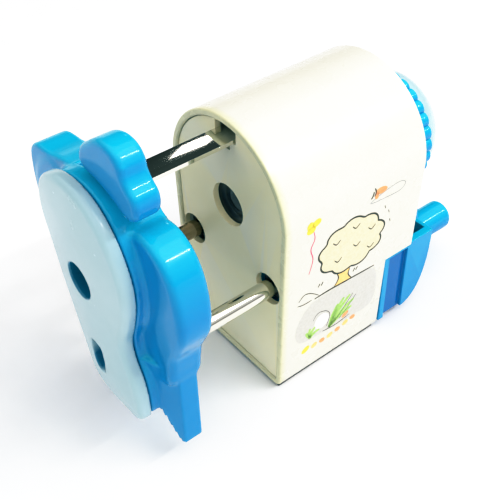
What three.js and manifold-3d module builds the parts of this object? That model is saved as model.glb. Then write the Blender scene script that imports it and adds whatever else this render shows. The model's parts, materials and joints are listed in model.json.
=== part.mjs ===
// Crank pencil sharpener with a spring-fed face plate, a planetary helical cutter and a shavings drawer.
// Millimetres, +Z up. The origin is the centre of the base pad's underside, +Y runs from face to crank.
import * as THREE from 'three';
import { mergeVertices } from 'three/addons/utils/BufferGeometryUtils.js';
import Module from 'manifold-3d';

const wasm = await Module();
wasm.setup();

// ---- Driving dimensions ----
const GAP = 0.3; // clearance kept between neighbouring pieces
const BASE_HALF = 28; // half width of the housing at its foot
const ARCH_RADIUS = 30; // half width at the springline and radius of the arched top
const SPRING_Z = 72.6; // height where the arch springs
const PAD_HEIGHT = 1;
const SHELL_FOOT_Z = PAD_HEIGHT + GAP;
const CORNER = 3.5; // radius of the housing's bottom corners
const WALL = 2.4;
const FRONT_Y = -25; // front rim of the housing
const REAR_Y = 38; // back rim of the upper housing
const STEP_Y = 24.5; // back of the lower housing, where the drawer's head begins
const STEP_Z = 35.4; // underside of the overhang above the drawer's head
const PANEL_FRONT_Y = FRONT_Y + 0.8;
const PANEL_THICKNESS = 2.2;
const PANEL_BACK_Y = PANEL_FRONT_Y + PANEL_THICKNESS;
const AXIS_Z = 68.5; // height of the pencil and crank axis
const ROD_X = 20.4;
const ROD_Z = 45.2;
const ROD_RADIUS = 3.1;
const ROD_HOLE_RADIUS = 6;
const PANEL_HOLE_RADIUS = 7.9;
const RAIL_TOP_Z = 96.6;
const RAIL_HALF_WIDTH = 4.5;
const RAIL_THICKNESS = 1.5;
const RAIL_BOTTOM_Z = RAIL_TOP_Z - RAIL_THICKNESS;
const SPRING_BELOW = 1.7; // from the rail's underside down to the feed spring's axis

// Face plate, from front to back
const COVER_FRONT_Y = -80.8;
const CORE_FRONT_Y = -75;
const COVER_BACK_Y = CORE_FRONT_Y - GAP;
const LOBE_FRONT_Y = -71.5;
const PLATE_BACK_Y = -59.4;
const CORE_WALL = 2;
const CHUCK_RADIUS = 19.8;
const CHUCK_SEAT_RADIUS = 22.9;
const JAW_FRONT_Y = CORE_FRONT_Y + CORE_WALL + GAP;
const JAW_THICKNESS = 3;
const SCROLL_FRONT_Y = JAW_FRONT_Y + JAW_THICKNESS + GAP;
const SCROLL_THICKNESS = 3;
const CHUCK_COVER_FRONT_Y = SCROLL_FRONT_Y + SCROLL_THICKNESS + GAP + 0.2;
const CHUCK_COVER_THICKNESS = 2.5;
const PENCIL_HOLE_RADIUS = 6;

// Jaws and the scroll ring that opens them
const LEVER_ANGLE = 74; // degrees, of the lever's arm seen from the face
const LEVER_SWEEP = 16; // degrees from closed to open
const JAW_GAP_HALF = 2.6;
const JAW_TRAVEL = 2.3;
const JAW_PIN_AT = 12;
const JAW_PIN_RADIUS = 1.2;

// Planetary cutter
const RING_TEETH = 32;
const PINION_TEETH = 10;
const RING_PITCH_RADIUS = 16;
const PINION_PITCH_RADIUS = RING_PITCH_RADIUS * PINION_TEETH / RING_TEETH;
const PINION_DISTANCE = RING_PITCH_RADIUS - PINION_PITCH_RADIUS;
const PINION_Y = -11; // middle of the gear mesh
const CUTTER_TILT = 8.5; // degrees between the cutter's axis and the pencil's
const CUTTER_RADIUS = 6.3;
const CUTTER_PIN_RADIUS = 1.4;
const SHAFT_RADIUS = 3.95;

// Crank
const HUB_FRONT_Y = 41;
const HUB_BACK_Y = 49.8;
const HUB_RADIUS = 23;
const HUB_SCALLOPS = 28;
const DOME_RADIUS = 20.8;
const DOME_CROWN_Y = 63.6;
const DOME_WALL = 1.3;
const ARM_FRONT_Y = 57.4;
const ARM_BACK_Y = 60.8;
const ARM_HALF_WIDTH = 5.2;
const CRANK_RADIUS = 53.2;
const CRANK_ANGLE = -80.4; // degrees, of the arm seen from the face
const KNOB_RADIUS = 6.1;
const KNOB_FRONT_Y = ARM_BACK_Y + GAP;
const KNOB_BACK_Y = 79.8;

// Drawer
const TRAY_HALF = 24.2;
const TRAY_FRONT_Y = -17;
const TRAY_TOP_Z = 33;
const HEAD_HALF = 28.4;
const HEAD_FRONT_Y = STEP_Y + GAP;
const HEAD_BACK_Y = 50;
const HEAD_TOP_Z = 36.2;
const DRAWER_FOOT_Z = 4.2;
const TRAY_WALL = 1.6;
const HEAD_WALL = 3;

const rad = THREE.MathUtils.degToRad;
const along = (degrees, r) => new THREE.Vector2(r * Math.cos(rad(degrees)), r * Math.sin(rad(degrees)));

// ---- Solids: three.js shapes joined and cut as manifolds ----
function solid(geometry) {
  const bare = geometry.index ? geometry.toNonIndexed() : geometry.clone();
  bare.deleteAttribute('normal');
  bare.deleteAttribute('uv');
  const merged = mergeVertices(bare, 1e-4);
  return new wasm.Manifold(new wasm.Mesh({
    numProp: 3,
    vertProperties: new Float32Array(merged.attributes.position.array),
    triVerts: new Uint32Array(merged.index.array),
  }));
}

function geometryOf(manifold) {
  const mesh = manifold.getMesh();
  const geometry = new THREE.BufferGeometry();
  geometry.setAttribute('position', new THREE.BufferAttribute(mesh.vertProperties, 3));
  geometry.setIndex(new THREE.BufferAttribute(mesh.triVerts, 1));
  return geometry;
}

function box(x0, x1, y0, y1, z0, z1) {
  const geometry = new THREE.BoxGeometry(x1 - x0, y1 - y0, z1 - z0);
  return solid(geometry.translate((x0 + x1) / 2, (y0 + y1) / 2, (z0 + z1) / 2));
}

function rod(radius, y0, y1, x = 0, z = AXIS_Z, sides = 32) {
  const geometry = new THREE.CylinderGeometry(radius, radius, y1 - y0, sides);
  return solid(geometry.translate(x, (y0 + y1) / 2, z));
}

function tube(outer, inner, y0, y1, x = 0, z = AXIS_Z, sides = 32) {
  return rod(outer, y0, y1, x, z, sides).subtract(rod(inner, y0 - 1, y1 + 1, x, z, sides));
}

// A turned piece: [radius, y] pairs revolved about an axis along Y
function turned(profile, x = 0, z = AXIS_Z, sides = 40) {
  const points = profile.map(([radius, y]) => new THREE.Vector2(radius, y));
  return solid(new THREE.LatheGeometry(points, sides).translate(x, 0, z));
}

// A shape drawn in x and z, extruded from y0 back to y1
function slab(shape, y0, y1, bevel = 0, curveSegments = 12) {
  const geometry = new THREE.ExtrudeGeometry(shape, {
    depth: y1 - y0 - 2 * bevel,
    bevelEnabled: bevel > 0,
    bevelThickness: bevel,
    bevelSize: bevel,
    bevelOffset: -bevel,
    bevelSegments: 2,
    curveSegments,
  });
  return solid(geometry.rotateX(Math.PI / 2).translate(0, y1 - bevel, 0));
}

function polygon(points) {
  return new THREE.Shape(points.map(([x, z]) => new THREE.Vector2(x, z)));
}

// A closed smooth outline through a few points, drawn in x and z
function smooth(points, count) {
  const knots = points.map(([x, z]) => new THREE.Vector3(x, z, 0));
  const curve = new THREE.CatmullRomCurve3(knots, true, 'centripetal');
  return new THREE.Shape(curve.getPoints(count).slice(0, -1).map((p) => new THREE.Vector2(p.x, p.y)));
}

function sector(r0, r1, from, to, steps = 8) {
  const arc = (r, a, b) => [...Array(steps + 1).keys()].map((i) => along(a + (b - a) * i / steps, r));
  const points = [...arc(r0, from, to), ...arc(r1, to, from)];
  return new THREE.Shape(points.map((p) => new THREE.Vector2(p.x, p.y + AXIS_Z)));
}

const mirrored = (points) => points.map(([x, z]) => [-x, z]).reverse();
const union = (pieces) => pieces.reduce((sum, piece) => sum.add(piece));

// ---- Housing ----
function housingOutline(inset) {
  const foot = SHELL_FOOT_Z + inset;
  const half = BASE_HALF - inset;
  const arch = ARCH_RADIUS - inset;
  const corner = Math.max(CORNER - inset, 0.8);
  const lean = (arch - half) / (SPRING_Z - foot) * corner;
  const shape = new THREE.Shape();
  shape.moveTo(-half + corner, foot);
  shape.lineTo(half - corner, foot);
  shape.quadraticCurveTo(half, foot, half + lean, foot + corner);
  shape.lineTo(arch, SPRING_Z);
  shape.absarc(0, SPRING_Z, arch, 0, Math.PI, false);
  shape.lineTo(-half - lean, foot + corner);
  shape.quadraticCurveTo(-half, foot, -half + corner, foot);
  return shape;
}

const REAR_SCREWS = [140, 40].map((angle) => {
  const at = along(angle, ARCH_RADIUS - 5.4);
  return [at.x, at.y + SPRING_Z];
});

function housingShell() {
  const shell = slab(housingOutline(0), FRONT_Y, REAR_Y)
    .subtract(slab(housingOutline(WALL), FRONT_Y - 1, REAR_Y + 1))
    .subtract(box(-40, 40, STEP_Y, REAR_Y + 1, -1, STEP_Z));
  const bosses = REAR_SCREWS.map(([x, z]) => {
    const boss = rod(3.4, 20, REAR_Y - 3, x, z, 20).intersect(slab(housingOutline(1), 0, REAR_Y));
    return boss.subtract(rod(1.4, 24, REAR_Y, x, z, 12));
  });
  return union([shell, ...bosses]);
}

// Room for the feed spring under the rail
function springSlot(y0, y1) {
  return box(-2.1, 2.1, y0, y1, RAIL_BOTTOM_Z - SPRING_BELOW - 2.1, RAIL_BOTTOM_Z);
}

function frontPanel() {
  let panel = slab(housingOutline(WALL + GAP), PANEL_FRONT_Y, PANEL_BACK_Y);
  panel = panel.subtract(rod(PANEL_HOLE_RADIUS, FRONT_Y, 0));
  for (const side of [-1, 1]) {
    panel = panel.subtract(rod(ROD_HOLE_RADIUS, FRONT_Y, 0, side * ROD_X, ROD_Z));
  }
  return panel
    .subtract(box(-RAIL_HALF_WIDTH - 0.7, RAIL_HALF_WIDTH + 0.7, FRONT_Y, 0, RAIL_BOTTOM_Z - 0.4, 120))
    .subtract(springSlot(FRONT_Y, 0));
}

function rearCover() {
  const above = box(-40, 40, 0, REAR_Y, STEP_Z + 0.2, 120);
  const wall = slab(housingOutline(WALL + GAP), REAR_Y - 2.6, REAR_Y - GAP).intersect(above);
  const ceiling = box(-26, 26, STEP_Y + GAP, REAR_Y - GAP, STEP_Z + 0.2, STEP_Z + 2.4);
  const holes = REAR_SCREWS.map(([x, z]) => rod(1.6, 30, REAR_Y + 1, x, z, 16));
  return union([wall, ceiling]).subtract(union([rod(6.6, 30, REAR_Y + 1), ...holes]));
}

function rearScrew([x, z]) {
  const head = rod(2.8, REAR_Y, REAR_Y + 1.6, x, z, 20);
  const slot = box(x - 2.2, x + 2.2, REAR_Y + 0.9, REAR_Y + 2, z - 0.35, z + 0.35);
  return head.subtract(slot).add(rod(1.1, 26, REAR_Y + 0.2, x, z, 12));
}

function basePad() {
  return box(-BASE_HALF + 1.5, BASE_HALF - 1.5, FRONT_Y + 1, STEP_Y - 1, 0, PAD_HEIGHT);
}

// The bush is the middle of a disc that closes the ring gear's mouth against chips
function pencilBush() {
  const front = PANEL_BACK_Y + GAP;
  return turned([
    [17.3, front], [17.3, front + 1.8], [4.3, front + 1.8],
    [4.3, front + 1.4], [6.8, front], [17.3, front],
  ]);
}

function railGuide() {
  const inside = slab(housingOutline(WALL + GAP), -8, -2);
  const halfSlot = RAIL_HALF_WIDTH + 0.4;
  return box(-8, 8, -7.4, -2.4, RAIL_BOTTOM_Z - 5, RAIL_TOP_Z + 4)
    .intersect(inside)
    .subtract(box(-halfSlot, halfSlot, -8, -2, RAIL_BOTTOM_Z - 0.4, RAIL_TOP_Z + 0.4))
    .subtract(springSlot(-8, -2));
}

function shaftBush() {
  const flange = REAR_Y + 1.8;
  return turned([
    [8.5, REAR_Y], [8.5, flange], [4.25, flange],
    [4.25, 33], [6.3, 33], [6.3, REAR_Y], [8.5, REAR_Y],
  ]);
}

// ---- Gears ----
// A toothed outline: each flank runs between the root and tip angles given as shares of the pitch
function toothed(count, rootRadius, tipRadius, rootShare, tipShare, phase) {
  const pitch = 360 / count;
  const points = [];
  for (let i = 0; i < count; i += 1) {
    const middle = phase + i * pitch;
    points.push(along(middle - rootShare * pitch, rootRadius), along(middle - tipShare * pitch, tipRadius));
    points.push(along(middle + tipShare * pitch, tipRadius), along(middle + rootShare * pitch, rootRadius));
  }
  return points;
}

function ringGear() {
  const shape = new THREE.Shape().absarc(0, AXIS_Z, 20, 0, 2 * Math.PI, false);
  const teeth = toothed(RING_TEETH, 17.6, 15.45, 0.29, 0.13, 90 + 180 / RING_TEETH);
  shape.holes.push(new THREE.Path(teeth.map((p) => new THREE.Vector2(p.x, p.y + AXIS_Z))));
  const skirt = tube(20, 17.6, PANEL_BACK_Y + GAP, PINION_Y - 2.3, 0, AXIS_Z, 48);
  return slab(shape, PINION_Y - 2.4, PINION_Y + 2.6, 0, 24).add(skirt);
}

// A prism drawn in x and z about its own axis, twisted evenly from y0 to y1
function twisted(outline, y0, y1, twist, layers) {
  const count = outline.length;
  const positions = [];
  const faces = [];
  for (let layer = 0; layer <= layers; layer += 1) {
    const t = layer / layers;
    for (const p of outline) {
      const q = p.clone().rotateAround(new THREE.Vector2(), rad(twist * t));
      positions.push(q.x, y0 + (y1 - y0) * t, q.y);
    }
  }
  const ends = [positions.length / 3, positions.length / 3 + 1];
  positions.push(0, y0, 0, 0, y1, 0);
  for (let i = 0; i < count; i += 1) {
    const next = (i + 1) % count;
    for (let layer = 0; layer < layers; layer += 1) {
      const a = layer * count;
      const b = a + count;
      faces.push(a + i, b + i, a + next, a + next, b + i, b + next);
    }
    faces.push(ends[0], i, next, ends[1], layers * count + next, layers * count + i);
  }
  const geometry = new THREE.BufferGeometry();
  geometry.setAttribute('position', new THREE.Float32BufferAttribute(positions, 3));
  geometry.setIndex(faces);
  return geometry;
}

// Places a piece made about the Y axis, with y measured from the gear mesh, on the tilted cutter axis
function onCutterAxis(geometry) {
  return solid(geometry.rotateX(-rad(CUTTER_TILT)).translate(0, PINION_Y, AXIS_Z + PINION_DISTANCE));
}

const cutterBore = () => onCutterAxis(new THREE.CylinderGeometry(1.7, 1.7, 80, 16));

function cutterPinion() {
  const teeth = toothed(PINION_TEETH, 3.8, 5.8, 0.36, 0.07, 90);
  return onCutterAxis(twisted(teeth, -2.2, 2.2, 0, 1)).subtract(cutterBore());
}

function helicalCutter() {
  const blades = toothed(16, CUTTER_RADIUS - 0.6, CUTTER_RADIUS, 0.35, 0.1, 0);
  return onCutterAxis(twisted(blades, 2.6, 28.5, 130, 12)).subtract(cutterBore());
}

function cutterPin() {
  const geometry = new THREE.CylinderGeometry(CUTTER_PIN_RADIUS, CUTTER_PIN_RADIUS, 39.4, 16);
  return onCutterAxis(geometry.translate(0, 12.3, 0));
}

function cutterCarrier() {
  const front = rod(15, -19.6, -16.4).subtract(rod(4.4, -21, -15));
  const rear = rod(13.4, 19.4, 24.4).subtract(rod(4.25, 21, 25));
  const cage = slab(sector(10, 13.4, 180, 360, 12), -16.6, 19.6);
  return union([front, rear, cage]).subtract(cutterBore());
}

function crankShaft() {
  return rod(SHAFT_RADIUS, 21.3, HUB_BACK_Y).subtract(rod(1.6, 46, 51, 0, AXIS_Z, 16));
}

// ---- Crank: made pointing along +X, then turned to its resting angle ----
function atCrankAngle(manifold) {
  const turn = new THREE.Matrix4().makeTranslation(0, 0, AXIS_Z)
    .multiply(new THREE.Matrix4().makeRotationY(-rad(CRANK_ANGLE)))
    .multiply(new THREE.Matrix4().makeTranslation(0, 0, -AXIS_Z));
  return solid(geometryOf(manifold).applyMatrix4(turn));
}

function crankHub() {
  const points = [];
  const steps = HUB_SCALLOPS * 4;
  for (let i = 0; i < steps; i += 1) {
    const dip = Math.pow(Math.abs(Math.sin(Math.PI * i / 4)), 0.7);
    points.push(along(360 * i / steps, HUB_RADIUS - 0.9 + 0.9 * dip));
  }
  const rim = slab(polygon(points.map((p) => [p.x, p.y + AXIS_Z])), HUB_FRONT_Y, HUB_BACK_Y);
  return rim.subtract(tube(19, 8, HUB_FRONT_Y - 1, HUB_FRONT_Y + 5)).subtract(rod(4.25, 40, 52));
}

// Stands the arm off the hub, so that the arm swings behind the drawer's head
function armSpacer() {
  return tube(ARM_HALF_WIDTH, 1.7, HUB_BACK_Y + GAP, ARM_FRONT_Y - GAP);
}

function crankArm() {
  const outline = new THREE.Shape();
  outline.absarc(CRANK_RADIUS, AXIS_Z, ARM_HALF_WIDTH, -Math.PI / 2, Math.PI / 2, false);
  outline.absarc(0, AXIS_Z, ARM_HALF_WIDTH, Math.PI / 2, 3 * Math.PI / 2, false);
  return slab(outline, ARM_FRONT_Y, ARM_BACK_Y)
    .subtract(rod(1.7, 50, 70, 0, AXIS_Z, 16))
    .subtract(rod(3.8, ARM_BACK_Y - 2, 70, 0, AXIS_Z, 20))
    .subtract(rod(2.2, 50, 70, CRANK_RADIUS, AXIS_Z, 16))
    .subtract(rod(3.8, 50, ARM_FRONT_Y + 1.6, CRANK_RADIUS, AXIS_Z, 20));
}

function domeCap() {
  const base = HUB_BACK_Y + GAP;
  const height = DOME_CROWN_Y - base;
  const arc = (thickness, from, to) => [...Array(9).keys()].map((i) => {
    const angle = rad(from + (to - from) * i / 8);
    const atCrown = Math.abs(angle - Math.PI / 2) < 1e-6;
    const radius = atCrown ? 0 : (DOME_RADIUS - thickness) * Math.cos(angle);
    return [radius, base + (height - thickness) * Math.sin(angle)];
  });
  const slot = ARM_HALF_WIDTH + 0.6;
  const notch = box(0, 30, base - 1, ARM_BACK_Y + 0.4, AXIS_Z - slot, AXIS_Z + slot);
  return turned([...arc(DOME_WALL, 90, 0), ...arc(0, 0, 90)]).subtract(notch);
}

function hubScrew() {
  const seat = ARM_BACK_Y - 1.7;
  return rod(3.4, seat, seat + 1.4, 0, AXIS_Z, 20)
    .subtract(box(-2.6, 2.6, seat + 0.8, 70, AXIS_Z - 0.4, AXIS_Z + 0.4))
    .add(rod(1.3, 47, seat + 0.2, 0, AXIS_Z, 12));
}

function knobAxle() {
  return rod(3.4, ARM_FRONT_Y + 0.2, ARM_FRONT_Y + 1.3, CRANK_RADIUS, AXIS_Z, 20)
    .add(rod(1.9, ARM_FRONT_Y + 1.2, KNOB_BACK_Y - 3.4, CRANK_RADIUS, AXIS_Z, 16));
}

function crankKnob() {
  const profile = [
    [0, KNOB_FRONT_Y], [4.9, KNOB_FRONT_Y], [5.6, KNOB_FRONT_Y + 1],
    [KNOB_RADIUS, KNOB_BACK_Y - 1.8], [5.5, KNOB_BACK_Y - 0.5], [4.2, KNOB_BACK_Y], [0, KNOB_BACK_Y],
  ];
  const bore = rod(2.3, KNOB_FRONT_Y - 1, KNOB_BACK_Y - 3, CRANK_RADIUS, AXIS_Z, 16);
  return turned(profile, CRANK_RADIUS, AXIS_Z, 28).subtract(bore);
}

// ---- Face plate ----
const CORE_OUTLINE = [
  [0, 103.2], [10.5, 100.8], [18.6, 92.8], [23.4, 82], [23.6, 71.5], [21.3, 62.5], [18.6, 54],
  [19.2, 47], [22.1, 40.5], [23.7, 32], [22.9, 23.4], [18, 22.2], [-5, 22.2], [-10.6, 24.5],
  [-13, 36], [-16, 46], [-18.6, 54], [-21.3, 62.5], [-23.6, 71.5], [-23.4, 82], [-18.6, 92.8],
  [-10.5, 100.8],
];
const COVER_OUTLINE = [
  [2, 103.5], [11, 100.8], [19, 92.8], [23.7, 81.5], [23.8, 71.5], [21.5, 62.5], [18.8, 54],
  [19.4, 47], [22.3, 40.5], [24, 32], [23.2, 22.8], [17, 21.5], [2, 21.5], [-4, 25.5],
  [-7.2, 35], [-10.5, 46], [-14.6, 60], [-17.6, 73], [-20.2, 86], [-17.5, 96.5], [-9, 102.2],
];
const EAR_OUTLINE = [
  [8, 86], [16, 93.6], [24.5, 95.3], [31, 92.6], [35.5, 87.6], [38.2, 80.6], [39.3, 72], [38.6, 65],
  [36, 59], [33.4, 53.6], [32.3, 47.5], [31.2, 41.3], [28.4, 38.2], [25, 38.4], [20, 42], [12, 52],
];
const LEFT_EAR_TOP = [
  [-8, 99.5], [-13, 100.2], [-25, 97.2], [-34.5, 95.6], [-38.4, 92.6], [-40.2, 86], [-39.6, 76],
  [-30, 70], [-10, 80],
];
const FOOT_OUTLINE = [[14, 30], [23.6, 24.5], [30.2, 10.2], [31.6, 10.6], [31.4, 44], [20, 46]];
const GRIP_OUTLINE = [
  [-2.8, 108.3], [-1.9, 112.3], [2.8, 116.6], [8, 119.9], [12.6, 121], [17, 120.1], [19.9, 117],
  [20.7, 113.9], [22.2, 111.7], [24.7, 109.3], [25.5, 106.1], [24.4, 102.4], [21.3, 100.2],
  [17.6, 101.1], [12.5, 103.2], [6, 105], [0, 105.6],
];

function foot(side) {
  const points = side > 0 ? FOOT_OUTLINE : mirrored(FOOT_OUTLINE);
  const corners = [[13, CORE_FRONT_Y], [17.7, CORE_FRONT_Y], [32.5, -68.1], [34, -61.6], [13, -61.6]];
  const plan = new THREE.Shape(corners.map(([x, y]) => new THREE.Vector2(x * side, y)));
  const wedge = solid(new THREE.ExtrudeGeometry(plan, { depth: 60, bevelEnabled: false }));
  return slab(polygon(points), -80, PLATE_BACK_Y).intersect(wedge);
}

const CHUCK_SCREWS = [200, 270, 340].map((angle) => {
  const at = along(angle, 21);
  return [at.x, at.y + AXIS_Z];
});

function carriagePlate() {
  const lobes = [
    slab(smooth(CORE_OUTLINE, 72), CORE_FRONT_Y, PLATE_BACK_Y),
    slab(smooth(EAR_OUTLINE, 44), LOBE_FRONT_Y, PLATE_BACK_Y, 1.5),
    slab(smooth(mirrored(EAR_OUTLINE), 44), LOBE_FRONT_Y, PLATE_BACK_Y, 1.5),
    slab(smooth(LEFT_EAR_TOP, 28), LOBE_FRONT_Y, PLATE_BACK_Y),
    foot(1),
    foot(-1),
  ];
  const cavities = [
    rod(PENCIL_HOLE_RADIUS + 0.2, CORE_FRONT_Y - 1, 0),
    rod(CHUCK_RADIUS, CORE_FRONT_Y + CORE_WALL, 0, 0, AXIS_Z, 48),
    rod(CHUCK_SEAT_RADIUS, CHUCK_COVER_FRONT_Y - GAP, 0, 0, AXIS_Z, 48),
    slab(sector(15, 45, 62, 107), SCROLL_FRONT_Y - 0.5, 0),
    ...[-ROD_X, ROD_X].map((x) => rod(ROD_RADIUS + GAP, PLATE_BACK_Y - 8, 0, x, ROD_Z, 24)),
    ...CHUCK_SCREWS.map(([x, z]) => rod(1.1, CHUCK_COVER_FRONT_Y - 5, 0, x, z, 12)),
  ];
  return union(lobes).subtract(union(cavities));
}

function faceCover() {
  const mouth = polygon([[-0.6, 36.4], [0.4, 43], [5.6, 43.6], [6.8, 37], [5.6, 31.4], [2.4, 31.2]]);
  return slab(smooth(COVER_OUTLINE, 72), COVER_FRONT_Y, COVER_BACK_Y + 1.8, 1.8)
    .intersect(box(-60, 60, -90, COVER_BACK_Y, 0, 120))
    .subtract(rod(PENCIL_HOLE_RADIUS, -90, 0))
    .subtract(slab(mouth, -90, 0));
}

function chuckCover() {
  const y0 = CHUCK_COVER_FRONT_Y;
  const y1 = y0 + CHUCK_COVER_THICKNESS;
  return rod(CHUCK_SEAT_RADIUS - GAP, y0, y1, 0, AXIS_Z, 48)
    .add(slab(sector(15, 33, 64, 105), y0, y1))
    .subtract(rod(6.2, -80, 0))
    .subtract(union(CHUCK_SCREWS.map(([x, z]) => rod(1.3, -80, 0, x, z, 12))));
}

function chuckScrew([x, z]) {
  const seat = CHUCK_COVER_FRONT_Y + CHUCK_COVER_THICKNESS + GAP;
  return rod(1.6, seat, seat + 1.2, x, z, 16)
    .subtract(box(x - 1.2, x + 1.2, seat + 0.7, seat + 2, z - 0.25, z + 0.25))
    .add(rod(0.8, CHUCK_COVER_FRONT_Y - 4.5, seat + 0.2, x, z, 10));
}

// A pin track in the scroll ring: its radius grows by the jaw's travel over the lever's sweep
function pinTrack(start) {
  const half = JAW_PIN_RADIUS + 0.35;
  const overrun = 6.5;
  const steps = 8;
  const edge = (offset) => [...Array(steps + 1).keys()].map((i) => {
    const turned = -overrun + (LEVER_SWEEP + 2 * overrun) * i / steps;
    const share = THREE.MathUtils.clamp(turned / LEVER_SWEEP, 0, 1);
    return along(start - turned, JAW_PIN_AT + JAW_TRAVEL * share + offset);
  });
  const points = [...edge(-half), ...edge(half).reverse()];
  return slab(polygon(points.map((p) => [p.x, p.y + AXIS_Z])), -80, 0);
}

function jawLever() {
  const y0 = SCROLL_FRONT_Y;
  const y1 = y0 + SCROLL_THICKNESS;
  const armAt = (r, w) => {
    const p = along(LEVER_ANGLE, r);
    const q = along(LEVER_ANGLE + 90, w);
    return [p.x + q.x, p.y + q.y + AXIS_Z];
  };
  const arm = polygon([armAt(16, -2.5), armAt(40, -2.5), armAt(40, 2.5), armAt(16, 2.5)]);
  const ring = tube(19.3, 8, y0, y1, 0, AXIS_Z, 48);
  const grip = slab(smooth(GRIP_OUTLINE, 52), -73, -64);
  return union([ring, slab(arm, y0, y1), grip]).subtract(pinTrack(0)).subtract(pinTrack(180));
}

function jaw(side) {
  const outline = [[JAW_GAP_HALF, 5.8], [16, 5.8], [16, -5.8], [JAW_GAP_HALF, -5.8], [JAW_GAP_HALF, -2.6],
    [4.2, 0], [JAW_GAP_HALF, 2.6]];
  const points = outline.map(([x, z]) => [side * x, AXIS_Z + z]);
  const block = slab(polygon(points), JAW_FRONT_Y, JAW_FRONT_Y + JAW_THICKNESS);
  return block.add(rod(JAW_PIN_RADIUS, JAW_FRONT_Y + 1, SCROLL_FRONT_Y + 2.6, side * JAW_PIN_AT, AXIS_Z, 16));
}

// A flat strip with rounded edges and a tab bent down behind the chuck cover
function topRail() {
  const front = CHUCK_COVER_FRONT_Y + CHUCK_COVER_THICKNESS + GAP;
  const round = 0.5;
  const [x, z] = [RAIL_HALF_WIDTH - round, RAIL_TOP_Z - round];
  const low = RAIL_BOTTOM_Z + round;
  const section = new THREE.Shape();
  section.absarc(x, low, round, -Math.PI / 2, 0, false);
  section.absarc(x, z, round, 0, Math.PI / 2, false);
  section.absarc(-x, z, round, Math.PI / 2, Math.PI, false);
  section.absarc(-x, low, round, Math.PI, 3 * Math.PI / 2, false);
  const tab = box(-RAIL_HALF_WIDTH, RAIL_HALF_WIDTH, front, front + 1.2, 84, RAIL_BOTTOM_Z + 0.2);
  return slab(section, front, 1, 0, 4).add(tab);
}

function guideRod(side) {
  return rod(ROD_RADIUS, PLATE_BACK_Y - 7.6, -5, side * ROD_X, ROD_Z, 28);
}

// A bush or a stop around a guide rod
function rodRing(radius, y0, y1, x) {
  return tube(radius, ROD_RADIUS + GAP, y0, y1, x, ROD_Z);
}

// A coil along +X from the origin, with its ends closed
function coil(length, radius, wire, turns, sides = 5) {
  class Helix extends THREE.Curve {
    getPoint(t, target = new THREE.Vector3()) {
      const angle = 2 * Math.PI * turns * t;
      return target.set(length * t, radius * Math.cos(angle), radius * Math.sin(angle));
    }
  }
  const section = new THREE.Shape(toothed(sides, wire, wire, 0, 0, 0).filter((_, i) => i % 4 === 0));
  return new THREE.ExtrudeGeometry(section, {
    steps: turns * 10,
    extrudePath: new Helix(),
    bevelEnabled: false,
  });
}

const FEED_SPRING = { front: -61.2, back: 35, z: RAIL_BOTTOM_Z - SPRING_BELOW };

function feedSpring() {
  const geometry = coil(FEED_SPRING.back - FEED_SPRING.front, 1.2, 0.3, 30, 4);
  return solid(geometry.rotateZ(Math.PI / 2).translate(0, FEED_SPRING.front, FEED_SPRING.z));
}

function jawSpring() {
  const geometry = coil(10.2, 1, 0.25, 8, 4);
  return solid(geometry.translate(-7.2, SCROLL_FRONT_Y + 1.4, AXIS_Z + 28));
}

// ---- Drawer ----
const HEAD_SIDE = [
  [HEAD_FRONT_Y, 3.4], [36, 3.4], [41.4, 5.2], [45.4, 9.6], [48.2, 17], [49.6, 26],
  [HEAD_BACK_Y, HEAD_TOP_Z],
];
const BAND_DEPTH = 1.4;

// A shape drawn in y and z, extruded across the width
function across(points, half) {
  const shape = new THREE.Shape(points.map(([y, z]) => new THREE.Vector2(y, z)));
  const geometry = new THREE.ExtrudeGeometry(shape, { depth: 2 * half, bevelEnabled: false });
  const toWidth = new THREE.Matrix4().makeBasis(
    new THREE.Vector3(0, 1, 0),
    new THREE.Vector3(0, 0, 1),
    new THREE.Vector3(1, 0, 0),
  );
  return solid(geometry.applyMatrix4(toWidth).translate(-half, 0, 0));
}

function shavingsDrawer() {
  const floor = DRAWER_FOOT_Z + TRAY_WALL;
  const lip = [
    [REAR_Y + GAP, HEAD_TOP_Z], [REAR_Y + GAP, STEP_Z - 0.4], [HEAD_FRONT_Y, STEP_Z - 0.4],
  ];
  const head = across([...HEAD_SIDE, ...lip], HEAD_HALF);
  const curve = HEAD_SIDE.slice(1).map(([y, z]) => [y - HEAD_WALL, Math.max(z + 1, floor)]);
  const front = HEAD_FRONT_Y + HEAD_WALL;
  const inner = [[front, floor], ...curve, [HEAD_BACK_Y - HEAD_WALL, 60], [front, 60]];
  const pocket = across(inner, HEAD_HALF - HEAD_WALL);
  const tray = box(-TRAY_HALF, TRAY_HALF, TRAY_FRONT_Y, HEAD_FRONT_Y + 4, DRAWER_FOOT_Z, TRAY_TOP_Z);
  const trayHalf = TRAY_HALF - TRAY_WALL;
  const trayHollow = box(-trayHalf, trayHalf, TRAY_FRONT_Y + TRAY_WALL, 40, floor, 60);
  const bands = [-1, 1].map((side) => {
    const edges = [side * (HEAD_HALF - BAND_DEPTH), side * 40].sort((a, b) => a - b);
    return box(...edges, 27.4, 34.6, 0, 34);
  });
  return head.subtract(union(bands)).add(tray).subtract(trayHollow).subtract(pocket);
}

// ---- Scene graph ----
function surface(color, roughness, metalness) {
  return new THREE.MeshStandardMaterial({ color, roughness, metalness });
}

const plastic = (color, roughness = 0.25) => surface(color, roughness, 0);
const metal = (color, roughness) => surface(color, roughness, 1);
const cream = plastic(0xf6f4e8);
const blue = plastic(0x0fa5dd);
const ice = plastic(0xcfe4e8);
const dark = plastic(0x16181b, 0.5);
const grey = plastic(0x9aa0a4, 0.45);
const rubber = plastic(0x202224, 0.8);
const chrome = metal(0xd8dadc, 0.12);
const steel = metal(0xa9acb0, 0.35);
const brass = metal(0xb08d4a, 0.3);

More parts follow.
